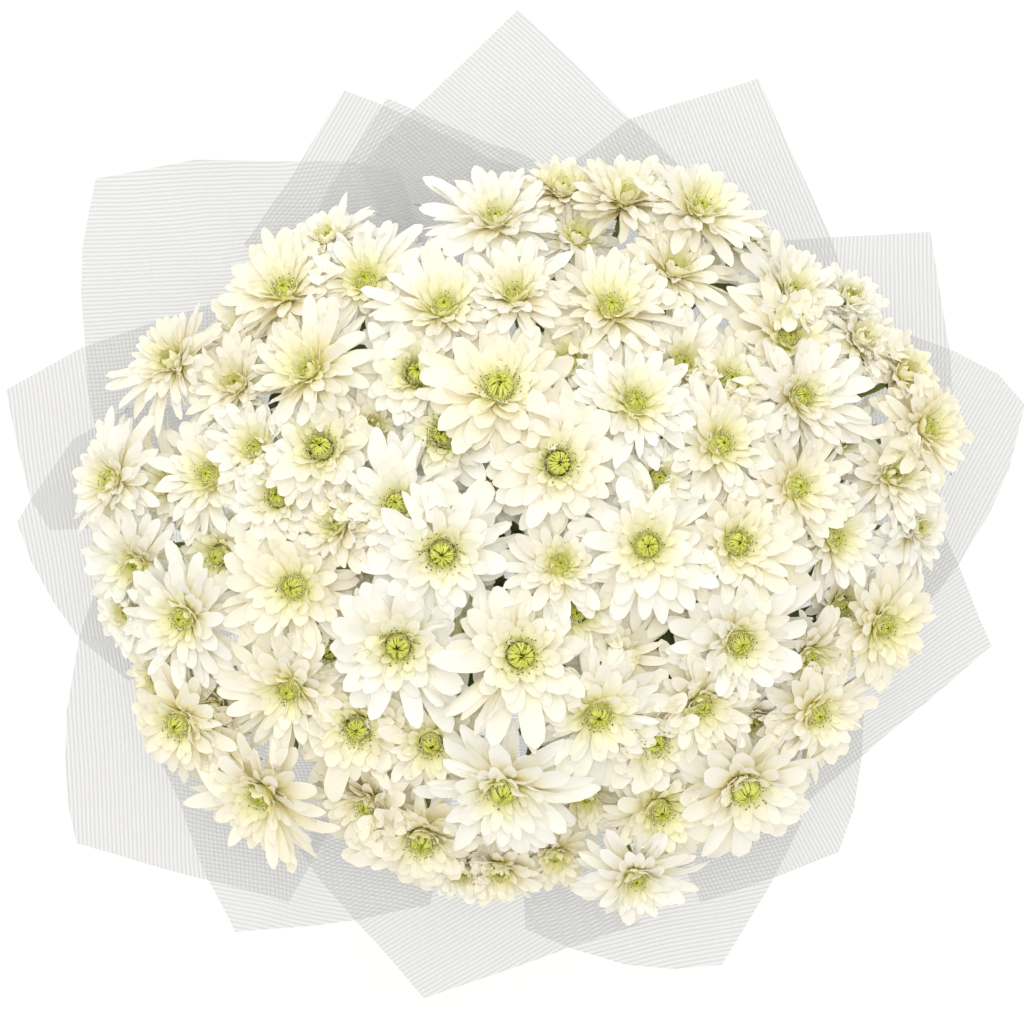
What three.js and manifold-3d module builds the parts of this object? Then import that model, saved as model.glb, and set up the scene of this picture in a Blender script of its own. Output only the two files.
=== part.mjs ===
// A round hand-tied bouquet of white spray chrysanthemums in a flared collar of translucent mesh sheets.
// Nineteen spray stems cross in a spiral at the tie and stand on their level-cut ends. Each stem ends in a
// spray: a branching point, short stalks and four or five flower heads that together form a shallow dome.
// Eight folded sheets of striped mesh are gathered under the tie and spread below the outer heads.
// Units are millimetres, +Z is up, the origin is on the surface the stems stand on, under the middle of
// the bounding box.
import * as THREE from 'three';
import { mergeVertices } from 'three/addons/utils/BufferGeometryUtils.js';
import Module from 'manifold-3d';

// ---- driving dimensions -------------------------------------------------------------------------
const CENTRE_SHIFT = [-2.386, -3.620];      // moves the whole bouquet so that its box is centred on the origin
const WAIST_Z = 172;               // height of the tie's middle
const STEM_FOOT_R = 2.9;           // stem radius at the cut end
const STEM_TOP_R = 2.35;           // stem radius under the branching point
const STALK_R = 1.35;              // radius of the stalk of one flower head
const KNOT_R = 3.1;                // swelling where a stem branches
const SPIRAL_SLOPE = 0.033;        // sideways travel of a stem per mm of height, over its distance from the middle
const SPIRAL_GROWTH = 0.0006;      // the extra outward lean above the tie
const HEAD_DEPTH = 12;             // from the disc of a head down to the top of its stalk
const HEAD_SIDES = 6;              // facets round a head
const GAP = 0.3;                   // clearance between separate pieces
const PETAL_CLEAR = 0.2;           // half of the clearance between the heads of two sprays
const COLLAR_R = 20.5;             // inner radius of the gathered sheets under the tie
const COLLAR_TOP_Z = 351;          // height of the collar under the rim of the flower mass
const COLLAR_BOTTOM_Z = 180;       // height where the gathered sheets start to spread
const FLARE_SLOPE = 0.39;         // rise of the flared rim per mm outwards
const LAYER_STEP = 1.0;            // distance between overlapping sheets under the tie
const LAYER_SPREAD = 4.2;          // and where they lie loose, above it
const SHEET_T = 0.5;               // a folded sheet, two layers of mesh
const MASS_A = 197, MASS_B = 165, MASS_X = 2.1, MASS_Y = -10.3; // ellipse round the flower mass
const TIE = { inner: 23.7, outer: 25.8, half: 6 };
const PX = 0.4394;                 // mm for each step of the outline tables below
const LEAF_T = 0.7;

// Flower heads: x, y, z of the disc's middle, radius over the ray florets, lean in x and y, spray.
const HEADS = [
  [48.7,135.9,384.9,25.9,0.178,0.931,9],
  [81.2,131.8,382.9,28.5,0.419,0.722,8],
  [-6.9,126.3,390.0,26.6,-0.063,0.691,9],
  [69.7,104.0,395.9,24.0,0.31,0.616,8],
  [-62.7,99.0,399.7,23.9,-0.168,0.41,10],
  [-97.5,95.3,391.1,28.3,-0.216,0.565,10],
  [121.0,95.2,387.4,24.1,0.513,0.56,8],
  [1.3,92.6,411.2,24.5,-0.041,0.606,9],
  [-28.7,87.0,412.4,25.3,-0.033,0.509,2],
  [41.9,86.7,411.5,27.9,0.134,0.596,8],
  [118.1,74.9,395.0,25.7,0.348,0.312,7],
  [-146.4,65.4,387.3,24.1,-0.517,0.345,11],
  [23.6,63.9,418.1,21.0,-0.208,0.282,2],
  [72.3,63.0,411.1,21.1,0.193,0.22,1],
  [-85.8,60.0,412.1,27.9,-0.478,0.386,10],
  [-39.5,58.4,419.9,21.8,-0.021,0.339,2],
  [92.3,55.9,409.9,22.9,0.226,0.418,1],
  [-117.7,55.0,399.5,23.9,-0.341,0.311,11],
  [-5.0,51.6,431.5,30.0,0.028,0.441,2],
  [123.0,48.9,403.1,28.1,0.432,0.241,7],
  [51.4,46.0,426.8,25.9,0.219,0.331,1],
  [-58.9,35.4,417.4,20.2,-0.064,0.056,3],
  [179.2,36.3,383.8,26.8,0.597,0.17,18],
  [-28.0,32.2,427.4,22.6,-0.373,0.25,2],
  [87.6,28.5,422.2,26.0,0.373,0.137,1],
  [-80.1,26.8,421.6,24.3,-0.1,0.325,3],
  [-108.2,27.1,411.4,23.7,-0.319,0.264,11],
  [19.1,20.3,436.9,25.7,0.159,0.033,0],
  [-128.8,15.7,404.1,23.8,-0.398,0.232,11],
  [164.3,15.9,388.9,24.1,0.342,0.195,18],
  [60.9,13.8,429.0,21.7,0.183,0.248,1],
  [-173.7,13.8,386.1,24.1,-0.702,0.129,12],
  [-146.8,12.0,391.1,21.5,-0.506,-0.01,11],
  [-9.6,10.5,424.6,19.3,0.046,0.097,0],
  [120.4,10.6,412.6,27.0,0.492,0.061,18],
  [-98.4,6.7,418.3,23.6,-0.213,0.183,3],
  [-47.7,3.3,434.8,25.7,-0.204,0.137,3],
  [35.6,4.2,423.3,19.3,0.314,0.348,0],
  [-73.1,-4.6,426.3,22.6,-0.518,0.164,3],
  [137.6,-11.1,401.6,24.7,0.577,-0.018,17],
  [94.2,-13.0,424.1,26.8,0.244,0.111,6],
  [56.1,-14.1,434.5,28.2,0.076,0.036,6],
  [-29.0,-17.0,438.1,28.2,0.014,-0.196,0],
  [-124.8,-18.7,401.7,19.6,-0.521,-0.242,12],
  [19.9,-21.6,434.1,24.1,0.103,0.166,0],
  [-162.1,-22.8,389.5,24.1,-0.311,-0.335,12],
  [-70.7,-29.5,417.1,19.4,-0.359,0.001,4],
  [-91.4,-31.4,422.4,27.7,-0.192,-0.073,4],
  [74.2,-33.1,421.8,21.8,0.158,-0.08,6],
  [142.1,-40.4,390.8,20.6,0.522,-0.194,17],
  [27.1,-41.7,429.1,20.9,-0.017,-0.113,5],
  [-140.5,-45.3,398.6,28.2,-0.503,-0.2,12],
  [159.8,-49.0,390.1,24.9,0.569,-0.339,17],
  [-16.8,-49.5,421.1,18.5,-0.144,-0.032,5],
  [95.5,-54.7,418.3,27.8,0.331,-0.385,6],
  [-47.5,-55.9,429.7,27.5,-0.052,-0.195,4],
  [-76.7,-58.1,416.2,21.1,0.021,-0.251,4],
  [127.2,-61.9,398.4,22.2,0.399,-0.498,17],
  [3.3,-59.4,434.4,29.1,0.137,-0.01,5],
  [42.4,-62.1,420.7,20.1,0.028,-0.379,5],
  [-94.3,-75.3,411.1,27.1,-0.301,-0.437,13],
  [80.3,-81.9,412.6,23.7,0.252,-0.442,16],
  [-128.1,-84.7,389.2,20.6,-0.459,-0.241,13],
  [130.7,-86.6,393.2,25.7,0.484,-0.323,17],
  [36.0,-85.1,422.6,28.5,0.085,-0.374,5],
  [103.3,-89.6,393.7,19.7,0.058,-0.649,16],
  [-143.4,-90.9,387.1,26.7,-0.465,-0.497,13],
  [-65.1,-90.9,411.9,24.5,-0.165,-0.357,14],
  [-34.2,-97.9,413.6,24.5,0.062,-0.355,14],
  [59.6,-96.5,410.6,22.8,0.368,-0.486,16],
  [100.1,-118.6,390.4,30.9,0.297,-0.662,16],
  [-3.8,-117.6,410.6,31.3,-0.071,-0.697,15],
  [-108.1,-122.3,387.3,26.7,-0.467,-0.619,13],
  [31.3,-123.1,392.8,19.7,0.147,-0.664,15],
  [-62.2,-125.6,393.1,24.0,-0.529,-0.638,14],
  [63.5,-127.8,392.4,24.0,0.264,-0.477,16],
  [-38.7,-140.9,390.6,25.8,-0.095,-0.775,14],
  [53.5,-158.4,383.8,25.0,0.12,-0.605,15],
  [22.0,140.1,381.9,21.6,0.188,1.093,9],
  [28.4,118.6,390.0,21.5,0.418,0.579,9],
  [151.2,75.2,382.7,21.6,0.616,0.534,7],
  [170.0,60.6,381.0,22.5,0.713,0.467,7],
  [175.2,-6.9,384.6,20.7,0.678,0.045,18],
  [147.0,93.7,378.0,19.1,0.317,0.541,7],
  [-5.2,-155.4,384.1,19.9,-0.139,-0.771,15],
  [-21.6,-155.6,382.6,19.0,-0.159,-0.698,14],
  [-166.6,-43.2,384.1,19.9,-0.509,-0.133,12],
  [-152.7,-72.5,384.4,19.8,-0.532,-0.324,13],
  [-114.4,78.2,389.3,19.8,-0.503,0.457,10],
  [18.6,-149.3,384.0,18.1,-0.013,-0.698,15],
  [100.0,119.5,380.2,18.2,0.369,0.793,8],
  [-79.5,119.2,382.7,19.0,-0.505,0.838,10],
  [139.9,30.9,391.8,20.6,0.402,0.114,18]
];
// Sprays: x, y, z of the branching point; x, y of the stem at the tie.
const SPRAYS = [
  [4.3,-0.4,349.4,0.0,0.0],
  [43.7,24.9,337.8,5.51,-5.23],
  [-9.3,35.2,339.9,7.29,2.16],
  [-43.0,8.1,341.7,1.77,7.39],
  [-42.9,-26.2,339.3,-5.51,5.23],
  [11.1,-35.7,343.6,-7.29,-2.16],
  [48.0,-17.2,342.7,-1.77,-7.39],
  [85.1,42.4,306.0,11.03,-10.46],
  [49.7,64.4,309.6,12.8,-3.07],
  [11.2,73.6,309.6,14.57,4.32],
  [-52.8,54.2,313.0,9.06,9.55],
  [-77.8,21.0,316.7,3.55,14.78],
  [-92.1,-13.9,310.0,-3.74,12.62],
  [-75.2,-53.5,309.8,-11.03,10.46],
  [-26.6,-73.3,316.4,-12.8,3.07],
  [11.3,-84.5,309.1,-14.57,-4.32],
  [48.8,-61.7,318.0,-9.06,-9.55],
  [83.7,-29.9,312.8,-3.55,-14.78],
  [93.5,10.4,310.4,3.74,-12.62]
];
// Leaves: stem, x, y, z of the leaf's foot, azimuth, elevation, roll, length, width.
const LEAVES = [
  [7,64.54,27.39,276.76,-0.256,0.838,-0.4,42.3,22.2],
  [8,36.53,42.07,272.55,-0.141,0.838,0.0,51.2,27.7],
  [9,6.44,61.23,286.28,2.817,0.663,-0.4,48.4,24.2],
  [10,-38.48,42.54,281.68,3.305,0.524,0.0,40.2,23.4],
  [11,-63.8,23.97,291.41,2.809,0.838,-0.4,45.1,28.0],
  [12,-72.21,-5.07,286.57,-3.731,0.838,-0.4,52.0,22.7],
  [13,-63.08,-37.92,286.28,-3.26,0.838,-0.4,45.3,25.2],
  [14,-27.06,-58.86,291.22,-2.317,0.663,-0.4,40.2,27.1],
  [15,1.74,-64.4,279.82,-2.548,0.838,0.0,48.2,22.0],
  [16,31.21,-48.92,278.5,-0.978,0.838,-0.4,51.3,26.9],
  [17,60.79,-29.6,282.96,-1.11,0.838,-0.4,42.5,25.5],
  [18,73.64,2.73,286.39,-0.623,0.663,-0.4,41.6,22.5]
];
// Points of the sheets, each as its outline seen from above, from one hidden end over its tip to the other,
// in steps of PX measured from the middle (x to the right, y down).
const FLAPS = {
  A: [[400, 172], [350, 163], [300, 161], [196, 160], [96, 179], [83, 248], [82, 294], [89, 392], [100, 450]],
  B: [[210, 305], [83, 348], [6, 390], [20, 450], [32, 500], [50, 530]],
  C: [[150, 400], [75, 440], [32, 500], [19, 522], [33, 561], [55, 600], [83, 638], [130, 680]],
  D: [[100, 590], [83, 638], [70, 708], [67, 760], [70, 806], [78, 842], [206, 876], [290, 900]],
  E: [[150, 740], [180, 800], [206, 876], [235, 933], [355, 920], [430, 905]],
  F: [[300, 850], [355, 920], [424, 997], [512, 966], [571, 945], [640, 925]],
  G: [[525, 925], [571, 945], [626, 963], [675, 968], [721, 963], [773, 874], [800, 820]],
  H: [[700, 900], [773, 874], [837, 850], [853, 806], [860, 754], [862, 700]],
  I: [[790, 810], [862, 750], [989, 645], [952, 563], [920, 500]],
  J: [[900, 630], [952, 563], [985, 512], [1005, 470], [1022, 405], [995, 375], [949, 353], [880, 330]],
  K: [[955, 420], [949, 353], [930, 232], [830, 238], [767, 242], [700, 250]],
  L: [[860, 330], [842, 271], [830, 238], [759, 78], [629, 119], [575, 160]],
  M: [[720, 210], [662, 152], [629, 119], [574, 65], [518, 14], [418, 108], [360, 170]],
  N: [[540, 190], [470, 150], [385, 111], [346, 95], [300, 167], [278, 202], [250, 250]],
  O: [[600, 200], [525, 165], [512, 157], [411, 113], [389, 104], [346, 170], [322, 209], [300, 260]],
};
// Sheets: the points that each one shows, and how far out in the overlap it lies.
const SHEETS = [
  { points: ['K', 'L'], layer: 0 }, { points: ['M'], layer: 1 }, { points: ['N', 'O'], layer: 2 },
  { points: ['A', 'B'], layer: 0 }, { points: ['C', 'D'], layer: 1 }, { points: ['E', 'F'], layer: 0 },
  { points: ['G', 'H'], layer: 1 }, { points: ['I', 'J'], layer: 2 },
];

// ---- solids -------------------------------------------------------------------------------------
const wasm = await Module();
wasm.setup();

function solid(geometry) {
  const g = geometry.index ? geometry.clone() : geometry;
  g.deleteAttribute('normal');
  g.deleteAttribute('uv');
  const m = mergeVertices(g, 1e-4), f = m.index.array, tris = [];
  for (let i = 0; i < f.length; i += 3) {
    if (f[i] !== f[i + 1] && f[i + 1] !== f[i + 2] && f[i + 2] !== f[i]) tris.push(f[i], f[i + 1], f[i + 2]);
  }
  return new wasm.Manifold(new wasm.Mesh({
    numProp: 3,
    vertProperties: new Float32Array(m.attributes.position.array),
    triVerts: new Uint32Array(tris),
  }));
}

function geometryOf(manifold) {
  const mesh = manifold.getMesh();
  const p = new Float32Array((mesh.vertProperties.length / mesh.numProp) * 3);
  for (let i = 0; i < p.length / 3; i++) for (let c = 0; c < 3; c++) p[3 * i + c] = mesh.vertProperties[mesh.numProp * i + c];
  const g = new THREE.BufferGeometry();
  g.setAttribute('position', new THREE.BufferAttribute(p, 3));
  g.setIndex([...mesh.triVerts]);
  g.computeVertexNormals();
  return g;
}

// Closed skin over a row of rings with the same number of points, with a flat end or a tip at each end.
function loft(rings) {
  const n = rings[0].length, pos = [], idx = [];
  for (const ring of rings) for (const p of ring) pos.push(p.x, p.y, p.z);
  for (let r = 0; r + 1 < rings.length; r++) {
    for (let i = 0; i < n; i++) {
      const a = r * n + i, b = r * n + ((i + 1) % n), c = a + n, d = b + n;
      idx.push(a, b, d, a, d, c);
    }
  }
  for (const [ring, flip, base] of [[rings[0], true, 0], [rings[rings.length - 1], false, (rings.length - 1) * n]]) {
    if (ring[0].distanceTo(ring[1]) < 1e-6) continue;
    for (let i = 1; i + 1 < n; i++) {
      if (flip) idx.push(base, base + i + 1, base + i); else idx.push(base, base + i, base + i + 1);
    }
  }
  const g = new THREE.BufferGeometry();
  g.setAttribute('position', new THREE.BufferAttribute(new Float32Array(pos), 3));
  g.setIndex(idx);
  return g;
}

// Round tube along points, with a radius at each.
function tube(points, radii, sides) {
  const rings = [];
  let side = null;
  points.forEach((p, i) => {
    const t = points[Math.min(i + 1, points.length - 1)].clone().sub(points[Math.max(i - 1, 0)]).normalize();
    if (!side) side = new THREE.Vector3(1, 0, 0);
    side = side.clone().addScaledVector(t, -side.dot(t)).normalize();
    const up = t.clone().cross(side);
    const ring = [];
    for (let k = 0; k < sides; k++) {
      const a = (2 * Math.PI * k) / sides;
      ring.push(p.clone().addScaledVector(side, radii[i] * Math.cos(a)).addScaledVector(up, radii[i] * Math.sin(a)));
    }
    rings.push(ring);
  });
  return loft(rings);
}

// ---- stems --------------------------------------------------------------------------------------
// Place of a stem at height z: the packing at the tie, turned and spread by the spiral, and drawn to the
// branching point of its spray above the tie.
function stemAt(k, z) {
  const [bx, by, bz, wx, wy] = SPRAYS[k];
  const spiral = (h) => SPIRAL_SLOPE * (h + (h > 0 ? SPIRAL_GROWTH * h * h : 0));
  const s = spiral(z - WAIST_Z), top = spiral(bz - WAIST_Z);
  const x = wx - wy * s, y = wy + wx * s;
  const tx = wx - wy * top, ty = wy + wx * top;
  const t = Math.min(1, Math.max(0, (z - WAIST_Z - 30) / (bz - WAIST_Z - 30))) ** 1.6;
  return new THREE.Vector3(x + (bx - tx) * t, y + (by - ty) * t, z);
}

function stemSolid(k) {
  const bz = SPRAYS[k][2];
  const zs = [-12, 90, 150, 195, 230, 262, bz - 12, bz - KNOT_R - GAP].filter((z, i, a) => i === a.length - 1 || z < bz - 10);
  const pts = zs.map((z) => stemAt(k, z));
  const radii = zs.map((z) => STEM_FOOT_R + ((STEM_TOP_R - STEM_FOOT_R) * Math.max(0, z)) / bz);
  const whole = solid(tube(pts, radii, 7));
  const below = new THREE.BoxGeometry(600, 600, 40);
  below.translate(0, 0, -20);
  return whole.subtract(solid(below));
}

// ---- flower heads -------------------------------------------------------------------------------
const heads = HEADS.map(([x, y, z, r, lx, ly, spray]) => {
  const n = new THREE.Vector3(lx, ly, 1).normalize();
  return { c: new THREE.Vector3(x, y, z), r, n, spray };
});

function headSolid(h) {
  const q = new THREE.Quaternion().setFromUnitVectors(new THREE.Vector3(0, 0, 1), h.n);
  const rings = [[0, -14], [0.98 * h.r, 2.5], [0.5 * h.r, 12.3]].map(([r, z]) => {
    const ring = [];
    for (let k = 0; k < HEAD_SIDES; k++) {
      const a = (2 * Math.PI * (k + 0.5)) / HEAD_SIDES;
      ring.push(new THREE.Vector3(r * Math.cos(a), r * Math.sin(a), z).applyQuaternion(q).add(h.c));
    }
    return ring;
  });
  return solid(loft(rings));
}

const wholeHeads = heads.map(headSolid);

// Half space on the far side of a plane, as a block.
function beyond(point, normal) {
  const g = new THREE.BoxGeometry(160, 160, 80);
  g.translate(0, 0, 40);
  g.applyQuaternion(new THREE.Quaternion().setFromUnitVectors(new THREE.Vector3(0, 0, 1), normal));
  g.translate(point.x, point.y, point.z);
  return solid(g);
}

// Neighbouring heads meet in the plane between them: those of one spray overlap there a little and grow
// together, and those of two sprays keep clear. A head also gives way to the stalk of a higher head.
function trimmedHead(i) {
  const h = heads[i];
  let body = headSolid(h);
  heads.forEach((o, j) => {
    if (j === i || wholeHeads[i].minGap(wholeHeads[j], 0.5) > 0.45) return;
    const d = o.c.clone().sub(h.c), len = d.length();
    const f = Math.min(0.72, Math.max(0.28, (len * len + h.r * h.r - o.r * o.r) / (2 * len * len)));
    const dir = d.clone().normalize(), shift = o.spray === h.spray ? 0.3 : -PETAL_CLEAR;
    body = body.subtract(beyond(h.c.clone().addScaledVector(d, f).addScaledVector(dir, shift), dir));
  });
  heads.forEach((o, j) => {
    if (o.spray !== h.spray && touches(body, stalks[j].wide)) body = body.subtract(stalks[j].wide);
  });
  return body;
}

function stalkPoints(h, steps) {
  const [bx, by, bz] = SPRAYS[h.spray];
  const p0 = new THREE.Vector3(bx, by, bz), p3 = h.c.clone().addScaledVector(h.n, -HEAD_DEPTH);
  const len = p0.distanceTo(p3);
  const tan = stemAt(h.spray, bz).sub(stemAt(h.spray, bz - 12)).normalize();
  const d0 = tan.multiplyScalar(0.5).add(p3.clone().sub(p0).normalize().multiplyScalar(0.5)).normalize();
  const p1 = p0.clone().addScaledVector(d0, len * 0.33), p2 = p3.clone().addScaledVector(h.n, -len * 0.36);
  return new THREE.CubicBezierCurve3(p0, p1, p2, p3).getPoints(steps);
}

function stalkSolid(h, extra) {
  const pts = stalkPoints(h, 3);
  pts[pts.length - 1].copy(h.c).addScaledVector(h.n, -HEAD_DEPTH + 4);
  return solid(tube(pts, pts.map(() => STALK_R + extra), 4));
}

function knotSolid(k, extra) {
  const g = new THREE.IcosahedronGeometry(KNOT_R + extra, 0);
  g.translate(SPRAYS[k][0], SPRAYS[k][1], SPRAYS[k][2]);
  return solid(g);
}

const stalks = heads.map((h) => ({ body: stalkSolid(h, 0), wide: stalkSolid(h, GAP) }));
const touches = (a, b) => {
  const p = a.boundingBox(), q = b.boundingBox();
  return [0, 1, 2].every((c) => p.min[c] < q.max[c] && q.min[c] < p.max[c]);
};

function spraySolid(k) {
  let body = knotSolid(k, 0);
  heads.forEach((h, i) => {
    if (h.spray !== k) return;
    const parts = trimmedHead(i).decompose().sort((a, b) => b.volume() - a.volume());
    body = body.add(parts[0]).add(stalks[i].body);
  });
  return body.decompose().sort((a, b) => b.volume() - a.volume())[0];
}

// ---- wrapping sheets ----------------------------------------------------------------------------
const plan = ([u, v]) => [(u - 512) * PX, (512 - v) * PX];

function massRadius(th) {
  const c = Math.cos(th), s = Math.sin(th);
  const a = (c * c) / MASS_A ** 2 + (s * s) / MASS_B ** 2;
  const b = -2 * ((MASS_X * c) / MASS_A ** 2 + (MASS_Y * s) / MASS_B ** 2);
  const e = MASS_X ** 2 / MASS_A ** 2 + MASS_Y ** 2 / MASS_B ** 2 - 1;
  return (-b + Math.sqrt(b * b - 4 * a * e)) / (2 * a);
}

// Height of the collar at a distance r from the middle.
function collarZ(r, th) {
  const rf = massRadius(th), h = COLLAR_TOP_Z - COLLAR_BOTTOM_Z;
  if (r > rf) return COLLAR_TOP_Z + FLARE_SLOPE * (r - rf);
  const k = (FLARE_SLOPE * (rf - COLLAR_R)) / h, t = (r - COLLAR_R) / (rf - COLLAR_R);
  return COLLAR_BOTTOM_Z + h * ((2 - k) * t + (k - 1) * t * t);
}

// How loose the sheets lie: tight under the tie, free where they have spread.
const loose = (r, z) => Math.min(1, Math.max(0, (r - COLLAR_R) / (z > WAIST_Z ? 22 : 24)));

// Outline of one point as angle and distance. From its two ends the sheet runs straight down to the tie.
function outline(name) {
  const rows = FLAPS[name].map(plan).map(([x, y]) => [Math.atan2(y, x), Math.hypot(x, y)]);
  for (let i = 1; i < rows.length; i++) {
    while (rows[i][0] - rows[i - 1][0] > Math.PI) rows[i][0] -= 2 * Math.PI;
    while (rows[i][0] - rows[i - 1][0] < -Math.PI) rows[i][0] += 2 * Math.PI;
  }
  if (rows[0][0] > rows[rows.length - 1][0]) rows.reverse();
  return rows;
}

function reach(rows, th) {
  for (const turn of [-2 * Math.PI, 0, 2 * Math.PI]) {
    const t = th + turn;
    for (let i = 0; i + 1 < rows.length; i++) {
      const [a, ra] = rows[i], [b, rb] = rows[i + 1];
      if (t >= a && t <= b && b > a) {
        // straight edge between the two points
        const x1 = ra * Math.cos(a), y1 = ra * Math.sin(a), x2 = rb * Math.cos(b), y2 = rb * Math.sin(b);
        const dx = x2 - x1, dy = y2 - y1, c = Math.cos(t), s = Math.sin(t);
        const det = c * dy - s * dx;
        if (Math.abs(det) > 1e-9) return (x1 * dy - y1 * dx) / det;
      }
    }
  }
  return 0;
}

function sheetSolid({ points, layer }) {
  const flaps = points.map(outline);
  let lo = Math.min(flaps[0][0][0]), hi = flaps[0][flaps[0].length - 1][0];
  const angles = [];
  flaps.forEach((rows, f) => {
    let turn = 0;
    const mid = (rows[0][0] + rows[rows.length - 1][0]) / 2, first = (lo + hi) / 2;
    if (f && mid - first > Math.PI) turn = -2 * Math.PI;
    if (f && mid - first < -Math.PI) turn = 2 * Math.PI;
    rows.forEach((r) => { r[0] += turn; angles.push(r[0]); });
  });
  lo = Math.min(...angles);
  hi = Math.max(...angles);
  angles.sort((a, b) => a - b);
  const cols = [];
  for (const a of angles) if (!cols.length || a - cols[cols.length - 1] > 0.012) cols.push(a);
  cols[cols.length - 1] = hi;
  const step = Math.PI / 12;
  for (let a = Math.ceil(lo / step) * step; a < hi; a += step) {
    if (cols.every((c) => Math.abs(c - a) > 0.07)) cols.push(a);
  }
  cols.sort((a, b) => a - b);
  const meridian = cols.map((th) => {
    const out = Math.max(26, ...flaps.map((rows) => reach(rows, th)));
    const line = [[32, 138], [COLLAR_R, 163], [COLLAR_R, COLLAR_BOTTOM_Z]];
    for (const t of [0.14, 0.34, 0.56, 0.8, 1]) {
      const r = COLLAR_R + (out - COLLAR_R) * t;
      line.push([r, collarZ(r, th)]);
    }
    return line;
  });
  const side = (offset) => meridian.map((line, i) => line.map(([r, z], j) => {
    const a = line[Math.max(0, j - 1)], b = line[Math.min(line.length - 1, j + 1)];
    const tr = b[0] - a[0], tz = b[1] - a[1], w = Math.hypot(tr, tz);
    const off = offset[0] * (LAYER_STEP + (LAYER_SPREAD - LAYER_STEP) * loose(r, z)) + offset[1];
    const rr = r + (off * tz) / w, zz = z - (off * tr) / w;
    return new THREE.Vector3(rr * Math.cos(cols[i]), rr * Math.sin(cols[i]), zz);
  }));
  const inner = side([layer, 0]), outer = side([layer, SHEET_T]);
  const nc = cols.length, nr = meridian[0].length, pos = [], idx = [];
  for (const grid of [inner, outer]) for (const col of grid) for (const p of col) pos.push(p.x, p.y, p.z);
  const at = (s, i, j) => s * nc * nr + i * nr + j;
  for (let i = 0; i + 1 < nc; i++) {
    for (let j = 0; j + 1 < nr; j++) {
      idx.push(at(0, i, j), at(0, i, j + 1), at(0, i + 1, j + 1), at(0, i, j), at(0, i + 1, j + 1), at(0, i + 1, j));
      idx.push(at(1, i, j), at(1, i + 1, j + 1), at(1, i, j + 1), at(1, i, j), at(1, i + 1, j), at(1, i + 1, j + 1));
    }
    for (const [j, flip] of [[0, false], [nr - 1, true]]) {
      const a = at(0, i, j), b = at(0, i + 1, j), c = at(1, i, j), d = at(1, i + 1, j);
      if (flip) idx.push(a, d, b, a, c, d); else idx.push(a, b, d, a, d, c);
    }
  }
  for (const [i, flip] of [[0, true], [nc - 1, false]]) {
    for (let j = 0; j + 1 < nr; j++) {
      const a = at(0, i, j), b = at(0, i, j + 1), c = at(1, i, j), d = at(1, i, j + 1);
      if (flip) idx.push(a, d, b, a, c, d); else idx.push(a, b, d, a, d, c);
    }
  }
  const g = new THREE.BufferGeometry();
  g.setAttribute('position', new THREE.BufferAttribute(new Float32Array(pos), 3));
  g.setIndex(idx);
  const body = solid(g);
  return body.volume() < 0 ? solid(flipped(g)) : body;
}

function flipped(g) {
  const a = g.index.array;
  for (let i = 0; i < a.length; i += 3) [a[i], a[i + 1]] = [a[i + 1], a[i]];
  return g;
}

// ---- leaves -------------------------------------------------------------------------------------
// Half outline of a lobed leaf: place along it and half width, as shares of its length and width.
const LEAF_EDGE = [[0, 0.06], [0.16, 0.07], [0.32, 0.6], [0.42, 0.4], [0.58, 0.95], [0.67, 0.52], [0.8, 0.62], [1, 0.06]];

function leafSolid([, x, y, z, az, el, roll, length, width]) {
  const ex = new THREE.Vector3(Math.cos(az) * Math.cos(el), Math.sin(az) * Math.cos(el), Math.sin(el));
  const flat = new THREE.Vector3(-Math.sin(az), Math.cos(az), 0);
  const up = ex.clone().cross(flat);
  const ey = flat.clone().multiplyScalar(Math.cos(roll)).addScaledVector(up, Math.sin(roll));
  const ez = ex.clone().cross(ey);
  const rings = LEAF_EDGE.map(([u, w]) => {
    const half = (w * width) / 2, bend = -0.18 * u * u * length;
    const at = (v, t) => new THREE.Vector3(x, y, z).addScaledVector(ex, u * length + 0.9).addScaledVector(ey, v * half)
      .addScaledVector(ez, bend + 0.1 * Math.abs(v) * half + t);
    return [at(-1, 0), at(0, -LEAF_T / 2), at(1, 0), at(1, LEAF_T / 2), at(0, LEAF_T / 2), at(-1, LEAF_T / 2)];
  });
  const body = solid(loft(rings));
  return body.volume() < 0 ? solid(flipped(loft(rings))) : body;
}

// ---- assembly -----------------------------------------------------------------------------------
const group = new THREE.Group();
group.position.set(CENTRE_SHIFT[0], CENTRE_SHIFT[1], 0);
const petal = new THREE.MeshStandardMaterial({ color: 0xf4f3e6, roughness: 0.6, metalness: 0 });
const green = new THREE.MeshStandardMaterial({ color: 0x6d8a42, roughness: 0.6, metalness: 0 });
const leafy = new THREE.MeshStandardMaterial({ color: 0x2f5527, roughness: 0.55, metalness: 0 });
const mesh = new THREE.MeshStandardMaterial({ color: 0xdededc, roughness: 0.7, metalness: 0 });
const twine = new THREE.MeshStandardMaterial({ color: 0xd9d0b8, roughness: 0.9, metalness: 0 });
const two = (i) => String(i + 1).padStart(2, '0');

function place(name, body, material) {
  const node = new THREE.Mesh(geometryOf(body), material);
  node.name = name;
  group.add(node);
}

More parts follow.
